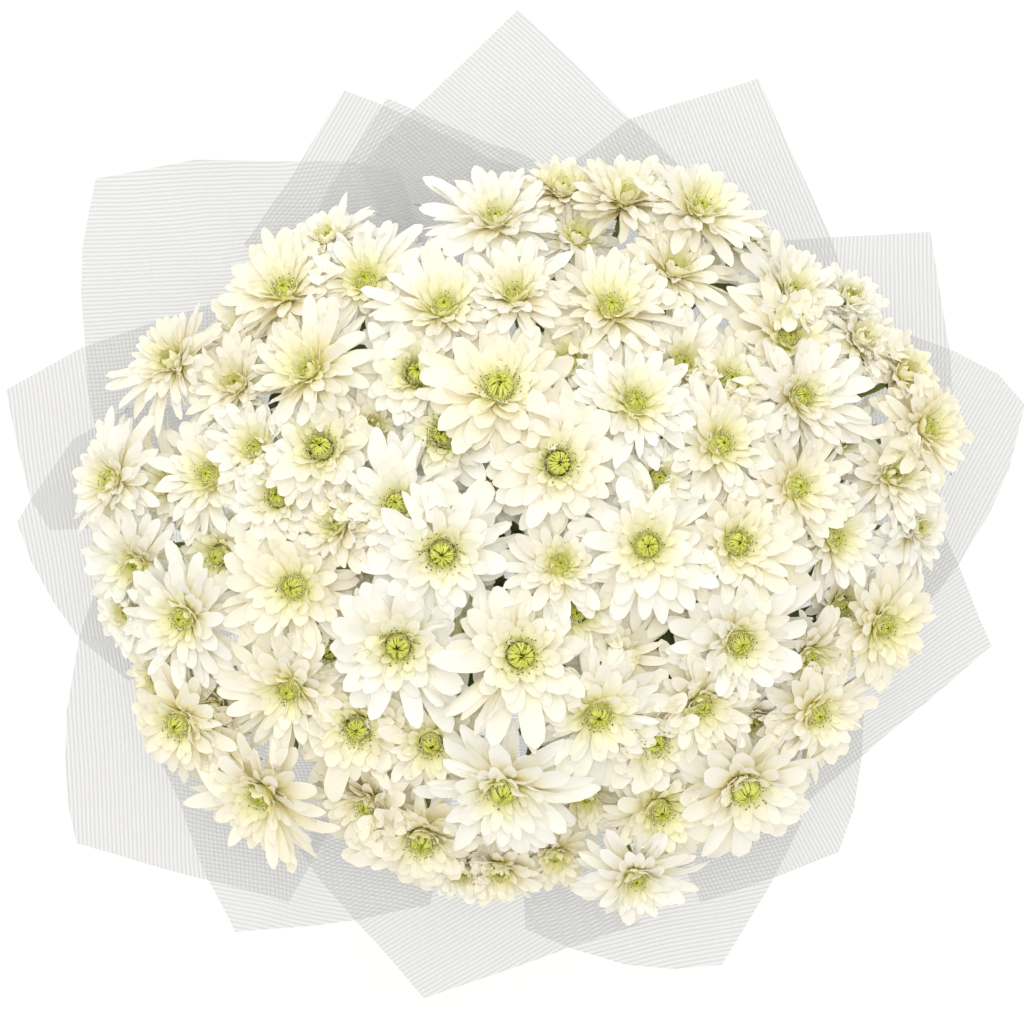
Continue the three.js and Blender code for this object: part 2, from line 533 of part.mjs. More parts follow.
SPRAYS.forEach((_, k) => place(`flower_spray_${two(k)}`, spraySolid(k), petal));
SPRAYS.forEach((_, k) => place(`stem_${two(k)}`, stemSolid(k), green));
LEAVES.forEach((row, i) => place(`leaf_${two(i)}`, leafSolid(row), leafy));
SHEETS.forEach((row, i) => place(`wrap_sheet_${i + 1}`, sheetSolid(row), mesh));
const profile = [[TIE.inner, -TIE.half], [TIE.outer, -TIE.half], [TIE.outer, TIE.half], [TIE.inner, TIE.half], [TIE.inner, -TIE.half]]
  .map(([r, z]) => new THREE.Vector2(r, z));
const ring = new THREE.LatheGeometry(profile, 28);
ring.rotateX(Math.PI / 2);
ring.translate(0, 0, WAIST_Z);
let band = solid(ring);
if (band.volume() < 0) band = solid(flipped(mergeVertices(ring, 1e-4)));
place('tie', band, twine);

export default group;
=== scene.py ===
"""Looks of a round hand-tied bouquet of white spray chrysanthemums in a collar of striped mesh sheets."""
import math

import bpy
import numpy as np
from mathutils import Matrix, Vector


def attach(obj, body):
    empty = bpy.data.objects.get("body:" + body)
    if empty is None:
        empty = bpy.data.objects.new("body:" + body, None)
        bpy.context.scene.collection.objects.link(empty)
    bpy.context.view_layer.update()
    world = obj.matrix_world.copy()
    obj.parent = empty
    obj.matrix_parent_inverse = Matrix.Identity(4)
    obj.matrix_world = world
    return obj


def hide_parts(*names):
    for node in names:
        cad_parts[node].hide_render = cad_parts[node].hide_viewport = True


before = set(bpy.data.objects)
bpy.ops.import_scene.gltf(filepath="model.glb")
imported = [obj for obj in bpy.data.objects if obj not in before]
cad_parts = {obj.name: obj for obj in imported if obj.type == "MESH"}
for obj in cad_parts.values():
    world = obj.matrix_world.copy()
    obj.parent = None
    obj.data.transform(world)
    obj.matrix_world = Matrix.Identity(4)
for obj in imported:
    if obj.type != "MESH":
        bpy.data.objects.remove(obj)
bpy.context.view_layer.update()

SHIFT = np.array([-2.386, -3.620, 0.0])  # mm, from the bouquet's own axis to the row frame
SEED = 20

# ---- numbers shared with the frame (mm) -----------------------------------------------------------
WAIST_Z, STEM_FOOT_R, STEM_TOP_R = 172.0, 2.9, 2.35
STALK_R, KNOT_R, HEAD_DEPTH = 1.35, 3.1, 12.0
SPIRAL_SLOPE, SPIRAL_GROWTH = 0.033, 0.0006
COLLAR_R, COLLAR_TOP_Z, COLLAR_BOTTOM_Z, FLARE_SLOPE = 20.5, 351.0, 180.0, 0.39
LAYER_STEP, LAYER_SPREAD, SHEET_T = 1.0, 4.2, 0.5
MASS_A, MASS_B, MASS_X, MASS_Y = 197.0, 165.0, 2.1, -10.3
PX = 0.4394

# x, y, z of the disc's middle, radius over the ray florets, lean in x and y, spray
HEADS = [
  [48.7,135.9,384.9,25.9,0.178,0.931,9],
  [81.2,131.8,382.9,28.5,0.419,0.722,8],
  [-6.9,126.3,390.0,26.6,-0.063,0.691,9],
  [69.7,104.0,395.9,24.0,0.31,0.616,8],
  [-62.7,99.0,399.7,23.9,-0.168,0.41,10],
  [-97.5,95.3,391.1,28.3,-0.216,0.565,10],
  [121.0,95.2,387.4,24.1,0.513,0.56,8],
  [1.3,92.6,411.2,24.5,-0.041,0.606,9],
  [-28.7,87.0,412.4,25.3,-0.033,0.509,2],
  [41.9,86.7,411.5,27.9,0.134,0.596,8],
  [118.1,74.9,395.0,25.7,0.348,0.312,7],
  [-146.4,65.4,387.3,24.1,-0.517,0.345,11],
  [23.6,63.9,418.1,21.0,-0.208,0.282,2],
  [72.3,63.0,411.1,21.1,0.193,0.22,1],
  [-85.8,60.0,412.1,27.9,-0.478,0.386,10],
  [-39.5,58.4,419.9,21.8,-0.021,0.339,2],
  [92.3,55.9,409.9,22.9,0.226,0.418,1],
  [-117.7,55.0,399.5,23.9,-0.341,0.311,11],
  [-5.0,51.6,431.5,30.0,0.028,0.441,2],
  [123.0,48.9,403.1,28.1,0.432,0.241,7],
  [51.4,46.0,426.8,25.9,0.219,0.331,1],
  [-58.9,35.4,417.4,20.2,-0.064,0.056,3],
  [179.2,36.3,383.8,26.8,0.597,0.17,18],
  [-28.0,32.2,427.4,22.6,-0.373,0.25,2],
  [87.6,28.5,422.2,26.0,0.373,0.137,1],
  [-80.1,26.8,421.6,24.3,-0.1,0.325,3],
  [-108.2,27.1,411.4,23.7,-0.319,0.264,11],
  [19.1,20.3,436.9,25.7,0.159,0.033,0],
  [-128.8,15.7,404.1,23.8,-0.398,0.232,11],
  [164.3,15.9,388.9,24.1,0.342,0.195,18],
  [60.9,13.8,429.0,21.7,0.183,0.248,1],
  [-173.7,13.8,386.1,24.1,-0.702,0.129,12],
  [-146.8,12.0,391.1,21.5,-0.506,-0.01,11],
  [-9.6,10.5,424.6,19.3,0.046,0.097,0],
  [120.4,10.6,412.6,27.0,0.492,0.061,18],
  [-98.4,6.7,418.3,23.6,-0.213,0.183,3],
  [-47.7,3.3,434.8,25.7,-0.204,0.137,3],
  [35.6,4.2,423.3,19.3,0.314,0.348,0],
  [-73.1,-4.6,426.3,22.6,-0.518,0.164,3],
  [137.6,-11.1,401.6,24.7,0.577,-0.018,17],
  [94.2,-13.0,424.1,26.8,0.244,0.111,6],
  [56.1,-14.1,434.5,28.2,0.076,0.036,6],
  [-29.0,-17.0,438.1,28.2,0.014,-0.196,0],
  [-124.8,-18.7,401.7,19.6,-0.521,-0.242,12],
  [19.9,-21.6,434.1,24.1,0.103,0.166,0],
  [-162.1,-22.8,389.5,24.1,-0.311,-0.335,12],
  [-70.7,-29.5,417.1,19.4,-0.359,0.001,4],
  [-91.4,-31.4,422.4,27.7,-0.192,-0.073,4],
  [74.2,-33.1,421.8,21.8,0.158,-0.08,6],
  [142.1,-40.4,390.8,20.6,0.522,-0.194,17],
  [27.1,-41.7,429.1,20.9,-0.017,-0.113,5],
  [-140.5,-45.3,398.6,28.2,-0.503,-0.2,12],
  [159.8,-49.0,390.1,24.9,0.569,-0.339,17],
  [-16.8,-49.5,421.1,18.5,-0.144,-0.032,5],
  [95.5,-54.7,418.3,27.8,0.331,-0.385,6],
  [-47.5,-55.9,429.7,27.5,-0.052,-0.195,4],
  [-76.7,-58.1,416.2,21.1,0.021,-0.251,4],
  [127.2,-61.9,398.4,22.2,0.399,-0.498,17],
  [3.3,-59.4,434.4,29.1,0.137,-0.01,5],
  [42.4,-62.1,420.7,20.1,0.028,-0.379,5],
  [-94.3,-75.3,411.1,27.1,-0.301,-0.437,13],
  [80.3,-81.9,412.6,23.7,0.252,-0.442,16],
  [-128.1,-84.7,389.2,20.6,-0.459,-0.241,13],
  [130.7,-86.6,393.2,25.7,0.484,-0.323,17],
  [36.0,-85.1,422.6,28.5,0.085,-0.374,5],
  [103.3,-89.6,393.7,19.7,0.058,-0.649,16],
  [-143.4,-90.9,387.1,26.7,-0.465,-0.497,13],
  [-65.1,-90.9,411.9,24.5,-0.165,-0.357,14],
  [-34.2,-97.9,413.6,24.5,0.062,-0.355,14],
  [59.6,-96.5,410.6,22.8,0.368,-0.486,16],
  [100.1,-118.6,390.4,30.9,0.297,-0.662,16],
  [-3.8,-117.6,410.6,31.3,-0.071,-0.697,15],
  [-108.1,-122.3,387.3,26.7,-0.467,-0.619,13],
  [31.3,-123.1,392.8,19.7,0.147,-0.664,15],
  [-62.2,-125.6,393.1,24.0,-0.529,-0.638,14],
  [63.5,-127.8,392.4,24.0,0.264,-0.477,16],
  [-38.7,-140.9,390.6,25.8,-0.095,-0.775,14],
  [53.5,-158.4,383.8,25.0,0.12,-0.605,15],
  [22.0,140.1,381.9,21.6,0.188,1.093,9],
  [28.4,118.6,390.0,21.5,0.418,0.579,9],
  [151.2,75.2,382.7,21.6,0.616,0.534,7],
  [170.0,60.6,381.0,22.5,0.713,0.467,7],
  [175.2,-6.9,384.6,20.7,0.678,0.045,18],
  [147.0,93.7,378.0,19.1,0.317,0.541,7],
  [-5.2,-155.4,384.1,19.9,-0.139,-0.771,15],
  [-21.6,-155.6,382.6,19.0,-0.159,-0.698,14],
  [-166.6,-43.2,384.1,19.9,-0.509,-0.133,12],
  [-152.7,-72.5,384.4,19.8,-0.532,-0.324,13],
  [-114.4,78.2,389.3,19.8,-0.503,0.457,10],
  [18.6,-149.3,384.0,18.1,-0.013,-0.698,15],
  [100.0,119.5,380.2,18.2,0.369,0.793,8],
  [-79.5,119.2,382.7,19.0,-0.505,0.838,10],
  [139.9,30.9,391.8,20.6,0.402,0.114,18]
]
# x, y, z of the branching point; x, y of the stem at the tie
SPRAYS = [
  [4.3,-0.4,349.4,0.0,0.0],
  [43.7,24.9,337.8,5.51,-5.23],
  [-9.3,35.2,339.9,7.29,2.16],
  [-43.0,8.1,341.7,1.77,7.39],
  [-42.9,-26.2,339.3,-5.51,5.23],
  [11.1,-35.7,343.6,-7.29,-2.16],
  [48.0,-17.2,342.7,-1.77,-7.39],
  [85.1,42.4,306.0,11.03,-10.46],
  [49.7,64.4,309.6,12.8,-3.07],
  [11.2,73.6,309.6,14.57,4.32],
  [-52.8,54.2,313.0,9.06,9.55],
  [-77.8,21.0,316.7,3.55,14.78],
  [-92.1,-13.9,310.0,-3.74,12.62],
  [-75.2,-53.5,309.8,-11.03,10.46],
  [-26.6,-73.3,316.4,-12.8,3.07],
  [11.3,-84.5,309.1,-14.57,-4.32],
  [48.8,-61.7,318.0,-9.06,-9.55],
  [83.7,-29.9,312.8,-3.55,-14.78],
  [93.5,10.4,310.4,3.74,-12.62]
]
# stem, x, y, z of the leaf's foot, azimuth, elevation, roll, length, width
LEAVES = [
  [7,64.54,27.39,276.76,-0.256,0.838,-0.4,42.3,22.2],
  [8,36.53,42.07,272.55,-0.141,0.838,0.0,51.2,27.7],
  [9,6.44,61.23,286.28,2.817,0.663,-0.4,48.4,24.2],
  [10,-38.48,42.54,281.68,3.305,0.524,0.0,40.2,23.4],
  [11,-63.8,23.97,291.41,2.809,0.838,-0.4,45.1,28.0],
  [12,-72.21,-5.07,286.57,-3.731,0.838,-0.4,52.0,22.7],
  [13,-63.08,-37.92,286.28,-3.26,0.838,-0.4,45.3,25.2],
  [14,-27.06,-58.86,291.22,-2.317,0.663,-0.4,40.2,27.1],
  [15,1.74,-64.4,279.82,-2.548,0.838,0.0,48.2,22.0],
  [16,31.21,-48.92,278.5,-0.978,0.838,-0.4,51.3,26.9],
  [17,60.79,-29.6,282.96,-1.11,0.838,-0.4,42.5,25.5],
  [18,73.64,2.73,286.39,-0.623,0.663,-0.4,41.6,22.5]
]
FLAPS = {
  "A": [[400, 172], [350, 163], [300, 161], [196, 160], [96, 179], [83, 248], [82, 294], [89, 392], [100, 450]],
  "B": [[210, 305], [83, 348], [6, 390], [20, 450], [32, 500], [50, 530]],
  "C": [[150, 400], [75, 440], [32, 500], [19, 522], [33, 561], [55, 600], [83, 638], [130, 680]],
  "D": [[100, 590], [83, 638], [70, 708], [67, 760], [70, 806], [78, 842], [206, 876], [290, 900]],
  "E": [[150, 740], [180, 800], [206, 876], [235, 933], [355, 920], [430, 905]],
  "F": [[300, 850], [355, 920], [424, 997], [512, 966], [571, 945], [640, 925]],
  "G": [[525, 925], [571, 945], [626, 963], [675, 968], [721, 963], [773, 874], [800, 820]],
  "H": [[700, 900], [773, 874], [837, 850], [853, 806], [860, 754], [862, 700]],
  "I": [[790, 810], [862, 750], [989, 645], [952, 563], [920, 500]],
  "J": [[900, 630], [952, 563], [985, 512], [1005, 470], [1022, 405], [995, 375], [949, 353], [880, 330]],
  "K": [[955, 420], [949, 353], [930, 232], [830, 238], [767, 242], [700, 250]],
  "L": [[860, 330], [842, 271], [830, 238], [759, 78], [629, 119], [575, 160]],
  "M": [[720, 210], [662, 152], [629, 119], [574, 65], [518, 14], [418, 108], [360, 170]],
  "N": [[540, 190], [470, 150], [385, 111], [346, 95], [300, 167], [278, 202], [250, 250]],
  "O": [[600, 200], [525, 165], [512, 157], [411, 113], [389, 104], [346, 170], [322, 209], [300, 260]],
}
SHEETS = [(("K", "L"), 0), (("M",), 1), (("N", "O"), 2), (("A", "B"), 0), (("C", "D"), 1), (("E", "F"), 0),
          (("G", "H"), 1), (("I", "J"), 2)]
# how far the middle of each head has opened: 0 still closed, 4 with its ring of tubular florets showing
OPENED = ("01102211222011142042201424142021122330113343102342"
          "3222343142220231343443202341000000000000000")
# x, y of the hollows between heads that the florets round them reach into
HOLLOWS = [(-41.5, 123.5), (-46.9, 129.3), (-87.0, -151.4), (-92.4, -117.2), (-114.5, -105.5), (88.8, -152.3), (-163.2, 41.5), (163.2, 48.2), (71.2, -56.8), (-20.7, -76.6), (-67.6, 78.4), (96.0, 102.3)]
# outer line of the flower mass round its middle, every 10 degrees from +x, in 0.42 mm units at the heads' height
MASS_MIDDLE = (4.0, -23.0)
MASS_LINE = [417, 440, 446, 426, 408, 387, 402, 396, 373, 365, 391, 411, 389, 393, 378, 408, 421, 430, 438, 421, 400, 421,
             413, 414, 386, 362, 364, 360, 362, 392, 387, 395, 393, 394, 409, 417]
# direction that each point's stripes run in, in degrees from +X
STRIPES = {"A": 4, "B": 96, "C": 100, "D": 94, "E": 168, "F": -150, "G": 12, "H": 118, "I": 32, "J": 62, "K": 92,
           "L": 113, "M": 140, "N": 58, "O": 28}


# ---- scene: camera, floor, light ------------------------------------------------------------------
scene = bpy.context.scene
scene.view_settings.view_transform = "Standard"
scene.view_settings.look = "None"
scene.cycles.max_bounces = 14
scene.cycles.diffuse_bounces = 12
scene.cycles.glossy_bounces = 2
scene.cycles.transmission_bounces = 2
scene.cycles.transparent_max_bounces = 10
scene.cycles.adaptive_threshold = 0.2

cam_data = bpy.data.cameras.new("camera")
cam_data.sensor_width = 36.0
cam_data.lens = 36.0 * 1300.0 / (0.42 * 1024.0)
cam_data.clip_start, cam_data.clip_end = 0.05, 20.0
camera = bpy.data.objects.new("camera", cam_data)
camera.location = (SHIFT[0] / 1000, SHIFT[1] / 1000, 1.720)
camera.rotation_euler = (0.0, 0.0, 0.0)
scene.collection.objects.link(camera)
scene.camera = camera

world = bpy.data.worlds.new("studio")
scene.world = world
world.use_nodes = True
world.node_tree.nodes["Background"].inputs["Color"].default_value = (1.0, 0.965, 0.885, 1.0)
world.node_tree.nodes["Background"].inputs["Strength"].default_value = 0.80


def area_light(name, place, aim, size, power):
    data = bpy.data.lights.new(name, "AREA")
    data.shape, data.size, data.energy, data.color = "DISK", size, power, (0.965, 0.985, 1.0)
    ob = bpy.data.objects.new(name, data)
    ob.location = place
    ob.rotation_euler = (Vector(aim) - Vector(place)).to_track_quat("-Z", "Y").to_euler()
    ob.visible_camera = False
    scene.collection.objects.link(ob)
    return ob


area_light("front", (0.0, 0.20, 1.95), (0.0, 0.0, 0.36), 0.95, 7.3)
area_light("key", (-0.30, 1.10, 1.50), (0.0, 0.0, 0.36), 0.70, 2.7)


# ---- materials ------------------------------------------------------------------------------------
class Nodes:
    """A small helper for node trees."""

    def __init__(self, name):
        self.mat = bpy.data.materials.new(name)
        self.mat.use_nodes = True
        self.tree = self.mat.node_tree
        self.tree.nodes.clear()
        self.out = self.tree.nodes.new("ShaderNodeOutputMaterial")

    def node(self, kind, **values):
        n = self.tree.nodes.new(kind)
        for key, value in values.items():
            setattr(n, key, value)
        return n

    def put(self, socket, value):
        if isinstance(value, bpy.types.NodeSocket):
            self.tree.links.new(value, socket)
        else:
            socket.default_value = value

    def math(self, op, a, b=0.0, c=0.0, clamp=False):
        n = self.node("ShaderNodeMath", operation=op, use_clamp=clamp)
        for i, v in enumerate((a, b, c)):
            if i < len(n.inputs):
                self.put(n.inputs[i], v)
        return n.outputs[0]

    def ramp(self, value, lo, hi, a=0.0, b=1.0):
        n = self.node("ShaderNodeMapRange", interpolation_type="SMOOTHSTEP", clamp=True)
        for i, v in enumerate((value, lo, hi, a, b)):
            self.put(n.inputs[i], v)
        return n.outputs[0]

    def mix(self, fac, a, b, blend="MIX"):
        n = self.node("ShaderNodeMix", data_type="RGBA", blend_type=blend)
        self.put(n.inputs[0], fac)
        self.put(n.inputs[6], a if isinstance(a, bpy.types.NodeSocket) else (*a, 1.0))
        self.put(n.inputs[7], b if isinstance(b, bpy.types.NodeSocket) else (*b, 1.0))
        return n.outputs[2]

    def attribute(self, name):
        n = self.node("ShaderNodeAttribute", attribute_name=name, attribute_type="GEOMETRY")
        s = self.node("ShaderNodeSeparateColor")
        self.tree.links.new(n.outputs["Color"], s.inputs[0])
        return s.outputs[0], s.outputs[1], s.outputs[2], n.outputs["Alpha"]

    def noise(self, scale, detail=2.0, rough=0.5, vector=None):
        n = self.node("ShaderNodeTexNoise")
        if vector is None:
            vector = self.node("ShaderNodeTexCoord").outputs["Object"]
        self.tree.links.new(vector, n.inputs["Vector"])
        n.inputs["Scale"].default_value = scale
        n.inputs["Detail"].default_value = detail
        n.inputs["Roughness"].default_value = rough
        return n.outputs[0]

    def bump(self, height, strength, distance):
        n = self.node("ShaderNodeBump")
        n.inputs["Strength"].default_value = strength
        n.inputs["Distance"].default_value = distance
        self.tree.links.new(height, n.inputs["Height"])
        return n.outputs[0]

    def principled(self, colour, rough, normal=None, specular=0.35, **fixed):
        n = self.node("ShaderNodeBsdfPrincipled")
        self.put(n.inputs["Base Color"], colour if isinstance(colour, bpy.types.NodeSocket) else (*colour, 1.0))
        self.put(n.inputs["Roughness"], rough)
        n.inputs["Specular IOR Level"].default_value = specular
        for key, value in fixed.items():
            n.inputs[key.replace("_", " ")].default_value = value
        if normal is not None:
            self.tree.links.new(normal, n.inputs["Normal"])
        return n

    def finish(self, shader):
        self.tree.links.new(shader, self.out.inputs["Surface"])
        return self.mat


def petal_material():
    m = Nodes("white_ray_floret")
    u, v, t, rnd = m.attribute("ray")
    inner = m.ramp(t, 0.56, 1.0)
    root = m.ramp(u, 0.05, 0.62, 1.0, 0.0)
    white = m.mix(rnd, (0.985, 0.976, 0.935), (0.976, 0.945, 0.810))
    blotch = m.ramp(m.noise(95.0, 1.0), 0.58, 0.80, 0.0, 0.16)
    white = m.mix(blotch, white, (0.94, 0.88, 0.76))
    colour = m.mix(m.math("MULTIPLY", root, 0.85), white, (0.950, 0.895, 0.56))
    halo = m.math("MULTIPLY", inner, m.math("MULTIPLY_ADD", u, -0.55, 0.95))
    colour = m.mix(m.math("MULTIPLY", halo, 0.9), colour, (0.960, 0.945, 0.50))
    deep = m.math("MULTIPLY", m.ramp(t, 0.80, 1.0), m.ramp(u, 0.0, 0.50, 0.6, 0.0))
    colour = m.mix(deep, colour, (0.86, 0.87, 0.26))
    # two keels and faint veins along each floret
    veins = m.math("SINE", m.math("MULTIPLY", v, 31.0))
    fine = m.math("SINE", m.math("MULTIPLY", v, 83.0))
    height = m.math("ADD", m.math("MULTIPLY", veins, 0.5), m.math("MULTIPLY", fine, 0.18))
    height = m.math("MULTIPLY", height, m.ramp(u, 0.0, 1.0, 1.0, 0.45))
    height = m.math("ADD", height, m.math("MULTIPLY", m.noise(700.0, 0.0), 0.5))
    colour = m.mix(m.math("MULTIPLY", m.ramp(veins, -1.0, -0.2, 1.0, 0.0), 0.05), colour, (0.82, 0.80, 0.62))
    rough = m.math("MULTIPLY_ADD", m.noise(260.0, 0.0), 0.14, 0.44)
    shader = m.principled(colour, rough, m.bump(height, 0.28, 0.0002), 0.28)
    return m.finish(shader.outputs[0])


def disc_material():
    m = Nodes("green_centre")
    u, v, kind, rnd = m.attribute("ray")
    strap = m.mix(m.ramp(u, 0.1, 0.9), (0.90, 0.92, 0.40), (0.72, 0.77, 0.075))
    strap = m.mix(m.math("MULTIPLY", rnd, 0.4), strap, (0.92, 0.93, 0.38))
    # painted shade: the strap tips darken where they meet in the middle of the head
    strap = m.mix(m.ramp(u, 0.93, 1.0, 0.0, 0.5), strap, (0.25, 0.27, 0.01))
    tube = m.mix(m.ramp(u, 0.0, 0.8), (0.88, 0.89, 0.34), (0.96, 0.95, 0.62))
    # painted shade: the recessed mouth of each tubular floret is near-black
    tube = m.mix(m.ramp(u, 0.90, 0.95, 0.0, 1.0), tube, (0.070, 0.058, 0.004))
    colour = m.mix(m.ramp(kind, 0.45, 0.55), strap, tube)
    # painted shade: the disc is near-black in the middle to stand for shade between the straps; further out it is its
    # own green
    base = m.mix(m.ramp(u, 0.12, 0.60), (0.030, 0.036, 0.002), (0.36, 0.40, 0.030))
    base = m.mix(m.ramp(u, 0.90, 1.0), base, (0.88, 0.87, 0.40))
    colour = m.mix(m.ramp(kind, 0.95, 0.99), colour, base)
    shader = m.principled(colour, 0.52, m.bump(m.noise(1500.0, 2.0), 0.3, 0.0001), 0.3)
    return m.finish(shader.outputs[0])


def green_material():
    m = Nodes("green_stalk_and_calyx")
    u, v, kind, rnd = m.attribute("ray")
    lines = m.math("SINE", m.math("MULTIPLY", v, 56.0))
    colour = m.mix(m.ramp(lines, -1.0, 1.0), (0.235, 0.270, 0.060), (0.370, 0.400, 0.110))
    colour = m.mix(m.ramp(m.noise(160.0, 3.0), 0.35, 0.75, 0.0, 0.5), colour, (0.42, 0.42, 0.15))
    colour = m.mix(m.ramp(kind, 0.45, 0.55), colour, m.mix(m.ramp(u, 0.4, 1.0), (0.22, 0.27, 0.07), (0.38, 0.36, 0.15)))
    shader = m.principled(colour, 0.58, m.bump(lines, 0.4, 0.0001), 0.35)
    return m.finish(shader.outputs[0])


def leaf_material():
    m = Nodes("lobed_leaf")
    u, v, kind, rnd = m.attribute("ray")
    mid = m.math("ABSOLUTE", m.math("MULTIPLY_ADD", v, 2.0, -1.0))
    rib = m.ramp(mid, 0.0, 0.07, 1.0, 0.0)
    side = m.math("SINE", m.math("MULTIPLY", m.math("MULTIPLY_ADD", mid, -0.42, u), 46.0))
    veins = m.math("MAXIMUM", rib, m.math("MULTIPLY", m.ramp(side, 0.80, 1.0), 0.6))
    colour = m.mix(m.ramp(m.noise(120.0, 4.0), 0.3, 0.7), (0.052, 0.078, 0.014), (0.105, 0.130, 0.026))
    colour = m.mix(m.math("MULTIPLY", veins, 0.65), colour, (0.20, 0.24, 0.070))
    height = m.math("ADD", m.math("MULTIPLY", veins, -0.7), m.math("MULTIPLY", m.noise(420.0, 3.0), 0.5))
    shader = m.principled(colour, 0.50, m.bump(height, 0.6, 0.0004), 0.4)
    return m.finish(shader.outputs[0])


def stem_material():
    m = Nodes("ribbed_stem")
    u, v, kind, rnd = m.attribute("ray")
    ribs = m.math("SINE", m.math("MULTIPLY", v, 62.83))
    colour = m.mix(m.ramp(ribs, -1.0, 1.0), (0.135, 0.215, 0.055), (0.225, 0.325, 0.095))
    colour = m.mix(m.ramp(m.noise(60.0, 5.0), 0.42, 0.72, 0.0, 0.55), colour, (0.235, 0.225, 0.095))
    colour = m.mix(m.ramp(u, 0.0, 0.10, 0.45, 0.0), colour, (0.30, 0.26, 0.13))
    # cut end: pale wood round a lighter pith
    cut = m.mix(m.ramp(u, 0.2, 0.55), (0.72, 0.70, 0.50), (0.48, 0.50, 0.24))
    colour = m.mix(m.ramp(kind, 0.45, 0.55), colour, cut)
    shader = m.principled(colour, 0.60, m.bump(m.math("ADD", m.math("MULTIPLY", ribs, 0.4), m.noise(500.0, 3.0)), 0.35, 0.0003), 0.35)
    return m.finish(shader.outputs[0])


def mesh_material():
    m = Nodes("striped_mesh")
    u, v, q, rnd = m.attribute("ray")
    n = m.node("ShaderNodeAttribute", attribute_name="stripe", attribute_type="GEOMETRY")
    wobble = m.math("MULTIPLY_ADD", m.noise(26.0, 2.0), 0.9, -0.45)
    line = m.math("ADD", m.math("DIVIDE", n.outputs["Fac"], 1.75), wobble)
    wave = m.math("PINGPONG", line, 0.5)
    thread = m.ramp(wave, 0.10, 0.34, 1.0, 0.0)
    colour = m.mix(thread, (0.40, 0.40, 0.40), (0.28, 0.28, 0.277))
    alpha = m.math("MULTIPLY_ADD", thread, 0.20, 0.335)
    shader = m.principled(colour, 0.62, None, 0.25)
    m.put(shader.inputs["Alpha"], alpha)
    # painted light: a faint glow on the sheets stands in for light passing through the threads and lifts their shaded
    # overlaps
    shader.inputs["Emission Color"].default_value = (1.0, 1.0, 0.985, 1.0)
    shader.inputs["Emission Strength"].default_value = 0.265
    return m.finish(shader.outputs[0])


def twine_material():
    m = Nodes("twine")
    u, v, kind, rnd = m.attribute("ray")
    fibre = m.math("SINE", m.math("MULTIPLY_ADD", u, 900.0, m.math("MULTIPLY", v, 12.566)))
    colour = m.mix(m.ramp(fibre, -1.0, 1.0), (0.56, 0.48, 0.33), (0.80, 0.73, 0.57))
    colour = m.mix(m.ramp(m.noise(900.0, 3.0), 0.4, 0.7, 0.0, 0.4), colour, (0.45, 0.37, 0.24))
    shader = m.principled(colour, 0.85, m.bump(fibre, 0.6, 0.0002), 0.2)
    return m.finish(shader.outputs[0])


def floor_material():
    m = Nodes("white_floor")
    tone = m.mix(m.ramp(m.noise(3.0, 2.0), 0.3, 0.7), (0.19, 0.19, 0.19), (0.21, 0.21, 0.21))
    shader = m.principled(tone, 0.85, m.bump(m.noise(90.0, 3.0), 0.05, 0.0002), 0.1)
    shader.inputs["Emission Color"].default_value = (1.0, 1.0, 1.0, 1.0)
    shader.inputs["Emission Strength"].default_value = 0.84
    return m.finish(shader.outputs[0])


PETAL, DISC, GREEN, LEAF = petal_material(), disc_material(), green_material(), leaf_material()
STEM, MESH, TWINE, FLOOR = stem_material(), mesh_material(), twine_material(), floor_material()


